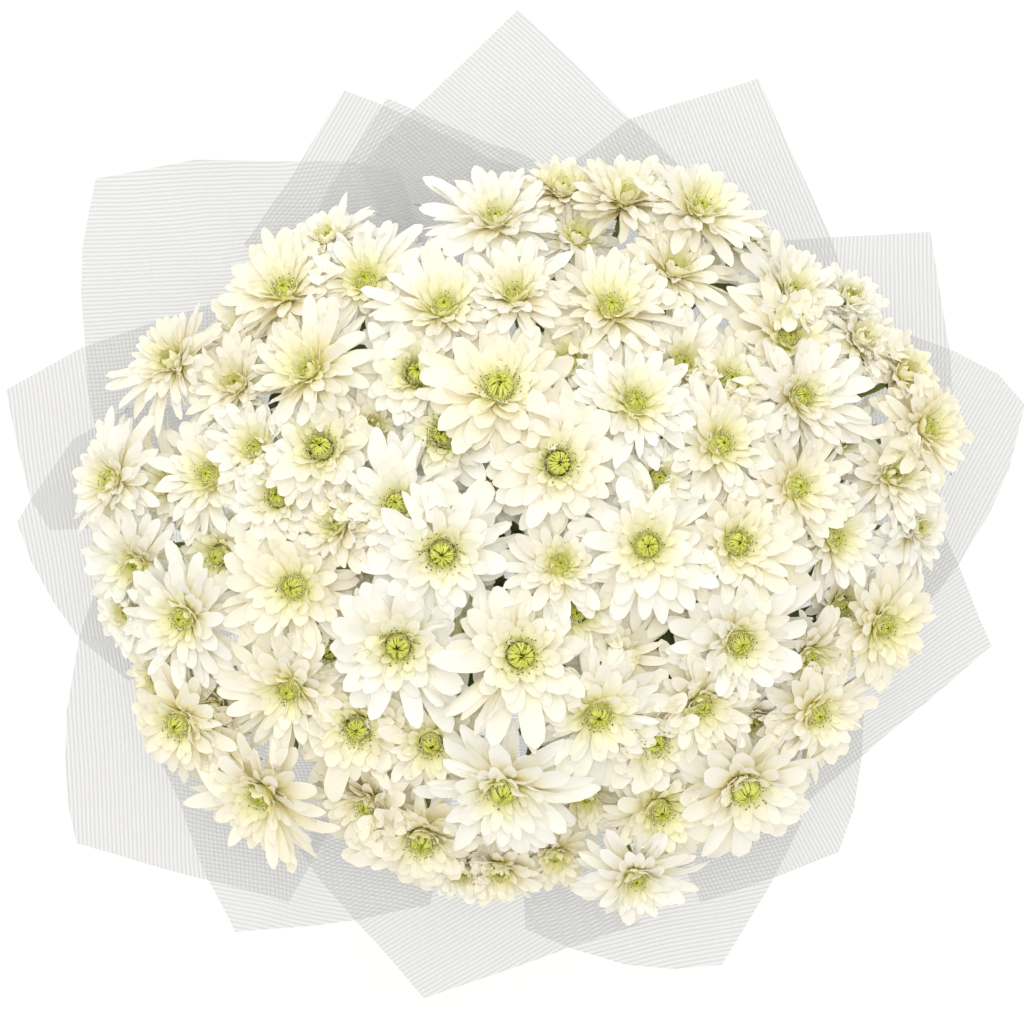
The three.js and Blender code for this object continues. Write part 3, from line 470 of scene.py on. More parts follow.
# ---- mesh building --------------------------------------------------------------------------------
class Build:
    """Collects vertices (mm, bouquet frame), faces, the colour attribute and border flags of one object."""

    def __init__(self):
        self.v, self.q, self.t, self.a, self.s = [], [], [], [], []
        self.qm, self.tm = [], []
        self.n = 0

    def add(self, verts, quads, tris, attr, border, mat):
        verts = np.asarray(verts, float).reshape(-1, 3)
        self.v.append(verts)
        self.a.append(np.asarray(attr, float).reshape(-1, 4))
        self.s.append(np.asarray(border, bool).reshape(-1))
        if len(quads):
            self.q.append(np.asarray(quads, int) + self.n)
            self.qm.append(np.full(len(quads), mat))
        if len(tris):
            self.t.append(np.asarray(tris, int) + self.n)
            self.tm.append(np.full(len(tris), mat))
        self.n += len(verts)

    def object(self, name, materials, stripe=None):
        v = (np.concatenate(self.v) + SHIFT) / 1000.0
        a = np.concatenate(self.a)
        s = np.concatenate(self.s)
        q = np.concatenate(self.q) if self.q else np.zeros((0, 4), int)
        t = np.concatenate(self.t) if self.t else np.zeros((0, 3), int)
        me = bpy.data.meshes.new(name)
        me.vertices.add(len(v))
        me.vertices.foreach_set("co", v.astype(np.float32).ravel())
        me.loops.add(4 * len(q) + 3 * len(t))
        me.loops.foreach_set("vertex_index", np.concatenate([q.ravel(), t.ravel()]).astype(np.int32))
        me.polygons.add(len(q) + len(t))
        starts = np.concatenate([np.arange(len(q)) * 4, 4 * len(q) + np.arange(len(t)) * 3])
        me.polygons.foreach_set("loop_start", starts.astype(np.int32))
        mats = np.concatenate([np.concatenate(self.qm) if self.qm else np.zeros(0), np.concatenate(self.tm) if self.tm else np.zeros(0)])
        me.update(calc_edges=True)
        for m in materials:
            me.materials.append(m)
        me.polygons.foreach_set("material_index", mats.astype(np.int32))
        me.polygons.foreach_set("use_smooth", np.ones(len(mats), bool))
        layer = me.attributes.new("ray", "FLOAT_COLOR", "POINT")
        layer.data.foreach_set("color", a.astype(np.float32).ravel())
        if stripe is not None:
            layer = me.attributes.new("stripe", "FLOAT", "POINT")
            layer.data.foreach_set("value", np.asarray(stripe, np.float32).ravel())
        if s.any():
            e = np.zeros(2 * len(me.edges), np.int32)
            me.edges.foreach_get("vertices", e)
            e = e.reshape(-1, 2)
            sharp = s[e[:, 0]] & s[e[:, 1]]
            layer = me.attributes.get("sharp_edge") or me.attributes.new("sharp_edge", "BOOLEAN", "EDGE")
            layer.data.foreach_set("value", sharp)
        me.validate()
        me.update()
        ob = bpy.data.objects.new(name, me)
        scene.collection.objects.link(ob)
        return ob


def frame_of(n, turn=0.0):
    n = np.asarray(n, float) / np.linalg.norm(n)
    e1 = np.array([1.0, 0.0, 0.0]) - n * n[0]
    e1 /= np.linalg.norm(e1)
    e2 = np.cross(n, e1)
    c, s = math.cos(turn), math.sin(turn)
    return np.stack([c * e1 + s * e2, -s * e1 + c * e2, n])


def blade(build, base, axes, mat, nu, vs, phi, length, width, a0, a1, ra, za, chan, twist, bend, tip, thick, attr_t, rnd,
          peak=0.60, power=1.5, foot=0.34, wave=None):
    """Closed blades such as ray florets, bracts and straps, one for each entry of phi.

    Each leaves its axis at radius ra and height za, climbs at a0 and ends at a1, and is a channel in section."""
    p = len(phi)
    col = lambda x: np.broadcast_to(np.asarray(x, float), (p,))[:, None]
    u = np.asarray(nu, float)[None, :]
    n_u, vs = u.shape[1], np.asarray(vs, float)
    n_v = len(vs)
    alpha = col(a0) + (col(a1) - col(a0)) * u ** power
    ca, sa = np.cos(alpha), np.sin(alpha)
    du = np.diff(u, axis=1)
    r = col(ra) + col(length) * np.concatenate([np.zeros((p, 1)), np.cumsum(0.5 * (ca[:, 1:] + ca[:, :-1]) * du, 1)], 1)
    z = col(za) + col(length) * np.concatenate([np.zeros((p, 1)), np.cumsum(0.5 * (sa[:, 1:] + sa[:, :-1]) * du, 1)], 1)
    pk = col(peak)
    rise = foot + (1 - foot) * np.sin(0.5 * np.pi * np.clip(u / pk, 0, 1)) ** 1.15
    fall = (1 - np.clip((u - pk) / (1 - pk), 0, 0.985) ** col(tip)) ** 0.62
    w = col(width) * np.where(u < pk, rise, fall)
    env = 1.0 - 0.45 * u
    v = vs[None, None, :]
    off_t = v * w[..., None] / 2
    off_n = (col(chan) * env)[..., None] * w[..., None] * (v ** 2)
    if wave is not None:  # uneven margins
        off_n = off_n + wave[:, :, None] * np.sign(v) * (v ** 2)
    tw = (col(twist) * u)[..., None]
    ot, on = off_t * np.cos(tw) - off_n * np.sin(tw), off_t * np.sin(tw) + off_n * np.cos(tw)
    th = (thick * (1.0 - 0.75 * u ** 3))[..., None] * np.ones_like(v)
    side = (col(bend) * col(length) * u ** 2)[..., None]

    def place(on_):
        rr = r[..., None] - sa[..., None] * on_
        zz = z[..., None] + ca[..., None] * on_
        tt = ot + side
        cp, sp = np.cos(phi)[:, None, None], np.sin(phi)[:, None, None]
        return np.stack([rr * cp - tt * sp, rr * sp + tt * cp, zz], -1)

    top = place(on)
    bot = place(on - th)[:, :, 1:-1]
    loc = np.concatenate([top.reshape(p, -1, 3), bot.reshape(p, -1, 3)], 1)
    world = base + loc @ axes
    k = n_u * n_v

    def T(i, j):
        return i * n_v + j

    def B(i, j):
        return T(i, j) if j in (0, n_v - 1) else k + i * (n_v - 2) + j - 1

    quads, tris = [], []
    for i in range(n_u - 1):
        for j in range(n_v - 1):
            quads.append((T(i, j), T(i + 1, j), T(i + 1, j + 1), T(i, j + 1)))
            quads.append((B(i, j), B(i, j + 1), B(i + 1, j + 1), B(i + 1, j)))
    for i, flip in ((0, False), (n_u - 1, True)):
        for j in range(n_v - 1):
            f = [T(i, j), T(i, j + 1), B(i, j + 1), B(i, j)]
            f = [x for n_, x in enumerate(f) if x not in f[:n_]]
            f = f[::-1] if flip else f
            (quads if len(f) == 4 else tris).append(tuple(f))
    per = loc.shape[1]
    step = (np.arange(p) * per)[:, None, None]
    quads = (np.array(quads)[None] + step).reshape(-1, 4)
    tris = (np.array(tris)[None] + step).reshape(-1, 3) if tris else np.zeros((0, 3), int)
    vv = (vs + 1) / 2
    au = np.concatenate([np.repeat(u[0], n_v), np.repeat(u[0], n_v - 2)])
    av = np.concatenate([np.tile(vv, n_u), np.tile(vv[1:-1], n_u)])
    attr = np.stack([np.broadcast_to(au, (p, per)), np.broadcast_to(av, (p, per)),
                     np.broadcast_to(col(attr_t), (p, per)), np.broadcast_to(col(rnd), (p, per))], -1)
    edge = np.zeros((n_u, n_v), bool)
    edge[:, 0] = edge[:, -1] = True
    edge[0, :] = edge[-1, :] = True
    border = np.tile(np.concatenate([edge.ravel(), np.zeros(n_u * (n_v - 2), bool)]), p)
    build.add(world, quads, tris, attr, border, mat)


def tube(build, pts, radii, mat, sides=8, kind=0.0, rnd=0.5, ribs=0, rib=0.0, twist=0.0, start_cap=True, end_cap=True, spans=None):
    """Closed tube along points."""
    pts = np.asarray(pts, float)
    n = len(pts)
    tan = np.gradient(pts, axis=0)
    tan /= np.linalg.norm(tan, axis=1)[:, None]
    side = np.array([1.0, 0.0, 0.0]) if abs(tan[0][0]) < 0.9 else np.array([0.0, 1.0, 0.0])
    rows = []
    ang = np.arange(sides) * 2 * np.pi / sides
    for i in range(n):
        side = side - tan[i] * side.dot(tan[i])
        side /= np.linalg.norm(side)
        up = np.cross(tan[i], side)
        a = ang + twist * i
        rad = radii[i] * (1 + rib * np.cos(ribs * ang))
        rows.append(pts[i] + (rad * np.cos(a))[:, None] * side + (rad * np.sin(a))[:, None] * up)
    v = np.concatenate(rows)
    quads = [(i * sides + k, i * sides + (k + 1) % sides, (i + 1) * sides + (k + 1) % sides, (i + 1) * sides + k)
             for i in range(n - 1) for k in range(sides)]
    tris = []
    uu = np.linspace(0, 1, n) if spans is None else np.asarray(spans)
    attr = np.stack([np.repeat(uu, sides), np.tile(ang / (2 * np.pi), n), np.full(n * sides, kind), np.full(n * sides, rnd)], -1)
    caps = []
    for on, i, flip in ((start_cap, 0, True), (end_cap, n - 1, False)):
        if not on:
            continue
        c = len(v) + len(caps)
        caps.append(pts[i])
        for k in range(sides):
            a, b = i * sides + k, i * sides + (k + 1) % sides
            tris.append((a, c, b) if flip else (a, b, c))
    if caps:
        v = np.concatenate([v, np.array(caps)])
        attr = np.concatenate([attr, np.tile([[0.5, 0.5, kind, rnd]], (len(caps), 1))])
    build.add(v, quads, tris, attr, np.zeros(len(v), bool), mat)


# ---- stems, stalks, heads -------------------------------------------------------------------------
def stem_at(k, z):
    bx, by, bz, wx, wy = SPRAYS[k]
    spiral = lambda h: SPIRAL_SLOPE * (h + (SPIRAL_GROWTH * h * h if h > 0 else 0.0))
    s, top = spiral(z - WAIST_Z), spiral(bz - WAIST_Z)
    x, y = wx - wy * s, wy + wx * s
    tx, ty = wx - wy * top, wy + wx * top
    t = min(1.0, max(0.0, (z - WAIST_Z - 30) / (bz - WAIST_Z - 30))) ** 1.6
    return np.array([x + (bx - tx) * t, y + (by - ty) * t, z])


HEAD = []
for row in HEADS:
    n = np.array([row[4], row[5], 1.0])
    HEAD.append({"c": np.array(row[:3], float), "r": row[3], "n": n / np.linalg.norm(n), "spray": row[6], "low": len(HEAD) >= 78})
C = np.array([h["c"] for h in HEAD])
R = np.array([h["r"] for h in HEAD])


def stalk_points(h, m):
    bx, by, bz, _, _ = SPRAYS[h["spray"]]
    p0, p3 = np.array([bx, by, bz]), h["c"] - h["n"] * HEAD_DEPTH
    length = np.linalg.norm(p3 - p0)
    tan = stem_at(h["spray"], bz) - stem_at(h["spray"], bz - 12)
    tan /= np.linalg.norm(tan)
    d0 = 0.5 * tan + 0.5 * (p3 - p0) / length
    d0 /= np.linalg.norm(d0)
    p1, p2 = p0 + d0 * length * 0.33, p3 - h["n"] * length * 0.36
    t = np.linspace(0, 1, m)[:, None]
    return (1 - t) ** 3 * p0 + 3 * (1 - t) ** 2 * t * p1 + 3 * (1 - t) * t * t * p2 + t ** 3 * p3


def room(i, dirs, reach_now):
    """For each direction in head i's plane: how far a floret goes past the middle between heads, and how much higher the
    neighbour stands there."""
    n, c = HEAD[i]["n"], C[i]
    d = C - c
    h = d @ n
    flat = d - h[:, None] * n
    dist = np.linalg.norm(flat, axis=1)
    near = (dist > 1) & (dist < 85)
    past = np.full(len(dirs), -99.0)
    lift = np.zeros(len(dirs))
    for j in np.where(near)[0]:
        f = 0.5 + (R[i] ** 2 - R[j] ** 2) / (2 * dist[j] ** 2)
        f = np.clip(f - np.clip(h[j] / 26.0, -0.22, 0.22), 0.28, 0.80)
        cg = dirs @ (flat[j] / dist[j])
        reach = np.where(cg > 0.3, f * dist[j] / np.maximum(cg, 0.3), 1e3)
        x = reach_now - reach
        better = x > past
        past = np.where(better, x, past)
        lift = np.where(better, h[j], lift)
    return past, lift


T_KEYS = [0.0, 0.22, 0.42, 0.60, 0.78, 0.90, 1.0]
LEN = [0.985, 0.930, 0.800, 0.640, 0.480, 0.360, 0.270]
ELEV0 = [8.0, 14.0, 27.0, 41.0, 54.0, 64.0, 70.0]
ELEV1 = [-14.0, -2.0, 10.0, 21.0, 33.0, 46.0, 60.0]
WIDE = [10.4, 10.8, 10.2, 9.0, 7.2, 5.4, 4.0]
GOLDEN = math.pi * (3 - math.sqrt(5))
NU_FINE = [0.0, 0.15, 0.32, 0.49, 0.65, 0.80, 0.92, 1.0]
NU_COARSE = [0.0, 0.27, 0.52, 0.75, 0.92, 1.0]


def flower_head(build, i):
    h = HEAD[i]
    g = np.random.default_rng(SEED * 1000 + i)
    axes = frame_of(h["n"], g.uniform(0, 2 * math.pi))
    base, size = h["c"], h["r"] / 29.0
    stage = int(OPENED[i])
    open_head = stage == 4
    wide_open = (0.34, 0.50, 0.68, 0.88, 1.06)[stage] * g.uniform(0.95, 1.05)
    n_rays = (92, 92, 90, 82, 74)[stage]
    k = np.arange(n_rays)
    t = (k + 0.5) / n_rays
    phi = k * GOLDEN + g.normal(0, 0.10, n_rays)
    length = np.interp(t, T_KEYS, LEN) * h["r"] * (0.88 if h["low"] else 1.0) * (1 + g.normal(0, 0.085, n_rays))
    width = np.interp(t, T_KEYS, WIDE) * (0.60, 0.62, 0.68, 0.80, 0.92)[stage] * size ** 0.6 * (1 + g.normal(0, 0.11, n_rays))
    cup = g.normal(0, 4.0)
    cup = cup + (9.0, 7.0, 3.0, 0.0, -1.0)[stage]
    a0 = np.interp(t, T_KEYS, ELEV0) + cup + g.normal(0, 4.5, n_rays)
    a1 = np.interp(t, T_KEYS, ELEV1) + cup + g.normal(0, 14.0, n_rays)
    a1 = a1 + (62.0, 22.0, 8.0, 0.0, 0.0)[stage] * np.clip((t - 0.62) / 0.38, 0, 1)  # the youngest still close the middle
    ra = np.interp(t, [0, 1], [5.8, 5.6]) * (0.45 + 0.55 * wide_open)
    za = np.interp(t, [0, 1], [-5.2, -0.6])
    dirs = np.cos(phi)[:, None] * axes[0] + np.sin(phi)[:, None] * axes[1]
    mean = np.radians(0.5 * (a0 + a1))
    past, lift = room(i, dirs, ra + length * np.cos(mean))
    # florets that find a hollow beside their head grow into it
    outer = np.clip(1.25 - t * 1.3, 0.0, 1.0)
    grow = np.where((past < -0.5) & (past > -13), np.minimum(-0.9 * past, 0.17 * length), 0) * (t < 0.45)
    for hx, hy in HOLLOWS:
        flat = np.array([hx, hy]) - h["c"][:2]
        far = np.linalg.norm(flat)
        if far < 44:
            aim = dirs[:, :2] @ (flat / far) > 0.80
            grow = np.maximum(grow, np.where(aim & (t < 0.5), np.clip(far + 4 - length, 0, 0.30 * length), 0))
    length = length + grow
    # outer florets of the rim heads end at the outer line of the bunch
    tip = base + dirs * (ra + length * np.cos(mean))[:, None]
    unit = 0.42 * (1720.0 - tip[:, 2]) / 1300.0
    shown = tip[:, :2] / unit[:, None] - np.array(MASS_MIDDLE)
    reach = np.linalg.norm(shown, axis=1)
    line = np.interp(np.degrees(np.arctan2(shown[:, 1], shown[:, 0])) % 360.0, np.arange(0, 361, 10), MASS_LINE + MASS_LINE[:1])
    outward = (dirs[:, :2] * shown).sum(1) / reach
    cut = np.clip(reach - line, 0, None) * unit / np.clip(outward, 0.5, 1.0)
    length = length - np.where(outward > 0.15, np.minimum(cut, 0.26 * length), 0.0)
    a1 = a1 - np.where(grow > 1, 9.0, 0.0)
    hit = past > 0
    high = hit & (lift < -4)   # this head is the higher one: its florets lie over the neighbour
    low = hit & (lift > 4)     # it is the lower one: its florets go underneath
    same = hit & ~high & ~low
    x = np.clip(past, 0, 30)
    a0 = a0 + np.where(same, np.minimum(1.5 * x, 24) * outer, 0) - np.where(low, np.minimum(1.2 * x, 16) * outer, 0)
    a1 = a1 + np.where(same, np.minimum(2.0 * x, 36) * outer, 0) - np.where(low, np.minimum(0.9 * x, 12) * outer, 0)
    a0 = a0 + np.where(high, np.minimum(0.3 * x, 5) * outer, 0)
    cut = np.where(high, np.maximum(x - 13, 0), np.where(low, np.maximum(x - 9, 0), np.maximum(x - 3, 0) * 0.55))
    length = np.maximum(length - cut, length * 0.72)
    chan = 0.12 + 0.06 * t + g.normal(0, 0.035, n_rays)
    twist = g.normal(0, 0.42, n_rays)
    bend = g.normal(0, 0.095, n_rays)
    tip = g.uniform(2.6, 5.2, n_rays)
    peak = g.uniform(0.46, 0.68, n_rays)
    rolled = (g.uniform(0, 1, n_rays) < 0.09) & (t < 0.7)  # a few florets are rolled lengthwise
    width = np.where(rolled, width * 0.62, width)
    chan = np.where(rolled, chan + 0.42, chan)
    twist = np.where(rolled, twist * 1.8, twist)
    cream = g.uniform(0, 1) ** 1.2
    rnd = np.clip(cream + g.normal(0, 0.12, n_rays), 0, 1)
    tone = np.clip(t + g.normal(0.0, 0.06), 0, 1)  # some heads are yellower inside than others
    for part, nu, vs in ((t < 0.56, NU_FINE, [-1, -0.42, 0.42, 1] if stage > 2 else [-1, 0, 1]), (t >= 0.56, NU_COARSE, [-1, 0, 1])):
        m = int(part.sum())
        wave = g.normal(0, 0.30, (m, len(nu))) * np.array(nu)[None] * 1.4
        wave[:, -1] = 0
        blade(build, base, axes, 0, nu, vs, phi[part], length[part], width[part], np.radians(a0[part]), np.radians(a1[part]),
              ra[part], za[part], chan[part], twist[part], bend[part], tip[part], 0.32, tone[part], rnd[part], peak[part], 1.5, 0.34, wave)
    # thin incurved straps round a point painted dark as shade
    mid = wide_open * size
    straps = 46
    k = np.arange(straps)
    ring = k % 8 >= 5
    blade(build, base, axes, 1, [0, 0.3, 0.6, 0.82, 1.0], [-1, 0, 1], k * GOLDEN + g.normal(0, 0.09, straps),
          np.where(ring, 4.2, 7.3) * (1 + g.normal(0, 0.10, straps)) * mid, np.full(straps, 0.80 * mid), np.where(ring, 1.45, 1.32) + g.normal(0, 0.08, straps),
          np.where(ring, 2.85, 2.95) + g.normal(0, 0.14, straps), np.where(ring, 2.9, 4.8) * mid, np.where(ring, 1.3, 0.4), 0.26, g.normal(0, 0.35, straps),
          g.normal(0, 0.08, straps), 2.0, 0.26, np.zeros(straps), g.uniform(0, 1, straps), 0.5, 1.0, 0.6)
    # the disc under the straps: its own green further out, with painted shade making it near-black in the middle where
    # it shows between the straps
    rows, sides = [(0.2, 4.4), (1.5, 4.2), (2.3, 2.6), (2.7, 1.2), (2.3, 0.15)], 8
    skirt = 5.6 * size / mid
    rows = [(-2.6, skirt), (-1.4, skirt)] + rows
    ang = np.arange(sides) * 2 * np.pi / sides
    pts = np.concatenate([np.stack([r_ * np.cos(ang), r_ * np.sin(ang), np.full(sides, z_)], -1) for z_, r_ in rows]) * np.array([mid, mid, 1])
    quads = [(a * sides + k_, a * sides + (k_ + 1) % sides, (a + 1) * sides + (k_ + 1) % sides, (a + 1) * sides + k_)
             for a in range(len(rows) - 1) for k_ in range(sides)]
    n_p = len(pts)
    pts = np.concatenate([pts, [[0, 0, -2.8], [0, 0, 2.2]]])
    tris = [(n_p, (k_ + 1) % sides, k_) for k_ in range(sides)] + [(n_p + 1, (len(rows) - 1) * sides + k_, (len(rows) - 1) * sides + (k_ + 1) % sides) for k_ in range(sides)]
    au = [min(1.0, r_ / 4.4) for z_, r_ in rows for _ in range(sides)] + [1.0, 0.0]
    build.add(base + pts @ axes, quads, tris, np.array([[a_, 0.5, 1.0, 0.5] for a_ in au]), np.zeros(len(pts), bool), 1)
    # small tubular florets, each mouth painted near-black as shade inside the tube
    count = (0, 8, 14, 22, 44)[stage]
    k = np.arange(count)
    rad = (np.sqrt(np.interp(k, [0, count], [4.9 ** 2, (8.0 if open_head else 6.6) ** 2])) + g.normal(0, 0.30, count)) * mid
    ang = k * GOLDEN + 0.6 + g.normal(0, 0.08, count)
    tall = np.interp(rad, [4.5 * mid, 8.5 * mid], [4.6, 4.2]) + g.normal(0, 0.5, count)
    lean = rad * 0.035 + g.normal(0, 0.08, count)
    wide = g.uniform(0.42, 0.66, count) * size
    s5 = np.arange(5) * 2 * np.pi / 5
    verts, quads, tris, attr = [], [], [], []
    for m in range(count):
        foot = np.array([rad[m] * math.cos(ang[m]), rad[m] * math.sin(ang[m]), 0.0])
        up = np.array([math.cos(ang[m]) * lean[m], math.sin(ang[m]) * lean[m], 1.0])
        o = len(verts)
        for hh, ww, uu in ((0.0, 0.55, 0.0), (tall[m] * 0.75, 0.62, 0.7), (tall[m], 1.0, 0.88)):
            for a in s5:
                verts.append(foot + up * hh + np.array([math.cos(a) * ww * wide[m], math.sin(a) * ww * wide[m], 0.0]))
                attr.append((uu, 0.5, 0.7, 0.5))
        verts.append(foot + up * (tall[m] - 0.55))
        attr.append((1.0, 0.5, 0.7, 0.5))
        for lvl in (0, 5):
            for e in range(5):
                quads.append((o + lvl + e, o + lvl + (e + 1) % 5, o + lvl + 5 + (e + 1) % 5, o + lvl + 5 + e))
        for e in range(5):
            tris.append((o + 10 + e, o + 10 + (e + 1) % 5, o + 15))
        tris += [(o, o + 2, o + 1), (o, o + 3, o + 2), (o, o + 4, o + 3)]
    if count:
        build.add(base + np.array(verts) @ axes, quads, tris, attr, np.zeros(len(verts), bool), 1)
    # calyx: a cup with overlapping bracts
    rows, sides = [(1.35, -12.6), (2.5, -11.4), (4.6, -9.4), (6.1, -7.0), (6.3, -4.6), (4.6, -3.4)], 12
    ang = np.arange(sides) * 2 * np.pi / sides
    pts = np.concatenate([np.stack([r_ * np.cos(ang), r_ * np.sin(ang), np.full(sides, z_)], -1) for r_, z_ in rows])
    quads = [(a * sides + k_, a * sides + (k_ + 1) % sides, (a + 1) * sides + (k_ + 1) % sides, (a + 1) * sides + k_)
             for a in range(len(rows) - 1) for k_ in range(sides)]
    n_p = len(pts)
    pts = np.concatenate([pts, [[0, 0, -12.6], [0, 0, -3.0]]])
    tris = [(n_p, (k_ + 1) % sides, k_) for k_ in range(sides)] + [(n_p + 1, (len(rows) - 1) * sides + k_, (len(rows) - 1) * sides + (k_ + 1) % sides) for k_ in range(sides)]
    build.add(base + pts @ axes, quads, tris, np.tile([[0.5, 0.5, 0.0, 0.5]], (len(pts), 1)), np.zeros(len(pts), bool), 2)
    bracts = 14
    k = np.arange(bracts)
    blade(build, base, axes, 2, [0, 0.4, 0.75, 1.0], [-1, 0, 1], k * GOLDEN, np.where(k % 2, 6.6, 5.2), np.full(bracts, 3.6), np.full(bracts, 0.45), np.full(bracts, 1.1),
          np.where(k % 2, 4.4, 3.4), np.where(k % 2, -9.6, -11.0), 0.12, g.normal(0, 0.1, bracts), g.normal(0, 0.03, bracts),
          1.8, 0.35, np.ones(bracts), g.uniform(0, 1, bracts), 0.5, 1.0, 0.6)


def stalk(build, i):
    h = HEAD[i]
    g = np.random.default_rng(SEED * 2000 + i)
    pts = stalk_points(h, 14)
    tail = h["c"] - h["n"] * (HEAD_DEPTH - 1.2)
    pts = np.concatenate([pts, [tail]])
    rad = np.interp(np.linspace(0, 1, len(pts)), [0, 0.12, 0.8, 1], [1.55, 1.25, 1.25, 1.5])
    tube(build, pts, rad, 2, sides=10, ribs=5, rib=0.07, rnd=g.uniform())
    # the small leaves in whose axils the stalk and its side shoots grow
    for j in (1 + i % 3, 5 + i % 3, 9 + i % 2):
        foot, tan = pts[j], pts[j + 1] - pts[j]
        tan /= np.linalg.norm(tan)
        out = np.array([foot[0], foot[1], 0.0]) * 0.2 + g.normal(0, 30, 3) * np.array([1, 1, 0])
        out = out - tan * out.dot(tan)
        out /= np.linalg.norm(out)
        n = np.cross(out, np.cross(tan, out))
        n /= np.linalg.norm(n)
        axes = np.stack([out, np.cross(n, out), n])
        size = g.uniform(17, 27)
        blade(build, foot, axes, 3, [0, 0.12, 0.3, 0.5, 0.7, 0.88, 1.0], [-1, -0.45, 0, 0.45, 1], np.array([0.0]), np.array([size]), np.array([size * 0.40]),
              np.radians([g.uniform(25, 55)]), np.radians([g.uniform(-20, 15)]), np.array([0.9]), np.array([0.0]), 0.16, g.normal(0, 0.3, 1),
              g.normal(0, 0.06, 1), 1.5, 0.35, np.array([0.0]), g.uniform(0, 1, 1), 0.5, 1.2, 0.16)


def knot(build, k):
    """Swollen node where the stalks part, on top of the stem."""
    bx, by, bz, _, _ = SPRAYS[k]
    tan = stem_at(k, bz) - stem_at(k, bz - 12)
    tan /= np.linalg.norm(tan)
    p = np.array([bx, by, bz])
    pts = [p + tan * s for s in (-3.3, -2.6, -1.2, 0.3, 1.8, 3.0, 3.6)]
    tube(build, pts, [2.3, 2.75, 3.0, 3.0, 2.5, 1.5, 0.5], 2, sides=12, ribs=5, rib=0.06)


def two(k):
    return "%02d" % (k + 1)


for k in range(len(SPRAYS)):
    b = Build()
    for i, h in enumerate(HEAD):
        if h["spray"] == k:
            flower_head(b, i)
            stalk(b, i)
    knot(b, k)
    ob = b.object("spray_" + two(k), [PETAL, DISC, GREEN, LEAF])
    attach(ob, "root")
    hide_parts("flower_spray_" + two(k))

for k in range(len(SPRAYS)):
    b = Build()
    bz = SPRAYS[k][2]
    zs = np.concatenate([[0.0, 0.6], np.linspace(4, bz - 3.4, 40)])
    g = np.random.default_rng(SEED * 3000 + k)
    pts = np.array([stem_at(k, z) for z in zs])
    rad = STEM_FOOT_R + (STEM_TOP_R - STEM_FOOT_R) * zs / bz
    rad = rad * (1 + 0.03 * np.sin(zs * 0.11 + g.uniform(0, 6)))
    for scar in (g.uniform(40, 75), g.uniform(95, 130), g.uniform(200, 228), g.uniform(238, 262)):
        rad = rad + 0.45 * np.exp(-((zs - scar) / 2.6) ** 2)
    rad[0] -= 0.12
    # level rings at the foot, so that the cut lies in the plane the bouquet stands on
    sides = 20
    ang = np.arange(sides) * 2 * np.pi / sides
    tan = np.gradient(pts, axis=0)
    tan /= np.linalg.norm(tan, axis=1)[:, None]
    side = np.array([1.0, 0.0, 0.0])
    rows = []
    for i in range(len(zs)):
        flat = np.array([0.0, 0.0, 1.0]) if zs[i] < 1 else tan[i]
        side = side - flat * side.dot(flat)
        side /= np.linalg.norm(side)
        up = np.cross(flat, side)
        rr = rad[i] * (1 + 0.045 * np.cos(10 * ang))
        rows.append(pts[i] + (rr * np.cos(ang))[:, None] * side + (rr * np.sin(ang))[:, None] * up)
    v = np.concatenate(rows)
    n = len(zs)
    quads = [(i * sides + e, i * sides + (e + 1) % sides, (i + 1) * sides + (e + 1) % sides, (i + 1) * sides + e)
             for i in range(n - 1) for e in range(sides)]
    attr = np.stack([np.repeat(zs / bz, sides), np.tile(ang / (2 * np.pi), n), np.zeros(n * sides), np.full(n * sides, 0.5)], -1)
    b.add(v, quads, [], attr, np.zeros(len(v), bool), 0)
    for i, flip in ((0, True), (n - 1, False)):
        ring = rows[i]
        inner = pts[i] + (ring - pts[i]) * 0.5
        vv = np.concatenate([ring, inner, [pts[i]]])
        q, t = [], []
        for e in range(sides):
            f = (e, (e + 1) % sides, sides + (e + 1) % sides, sides + e)
            q.append(f[::-1] if flip else f)
            f = (sides + e, sides + (e + 1) % sides, 2 * sides)
            t.append(f[::-1] if flip else f)
        attr = np.concatenate([np.tile([[1.0, 0.5, 1.0, 0.5]], (sides, 1)), np.tile([[0.45, 0.5, 1.0, 0.5]], (sides, 1)), [[0.0, 0.5, 1.0, 0.5]]])
        b.add(vv, q, t, attr, np.zeros(len(vv), bool), 0)
    ob = b.object("cut_stem_" + two(k), [STEM])
    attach(ob, "root")
    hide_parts("stem_" + two(k))

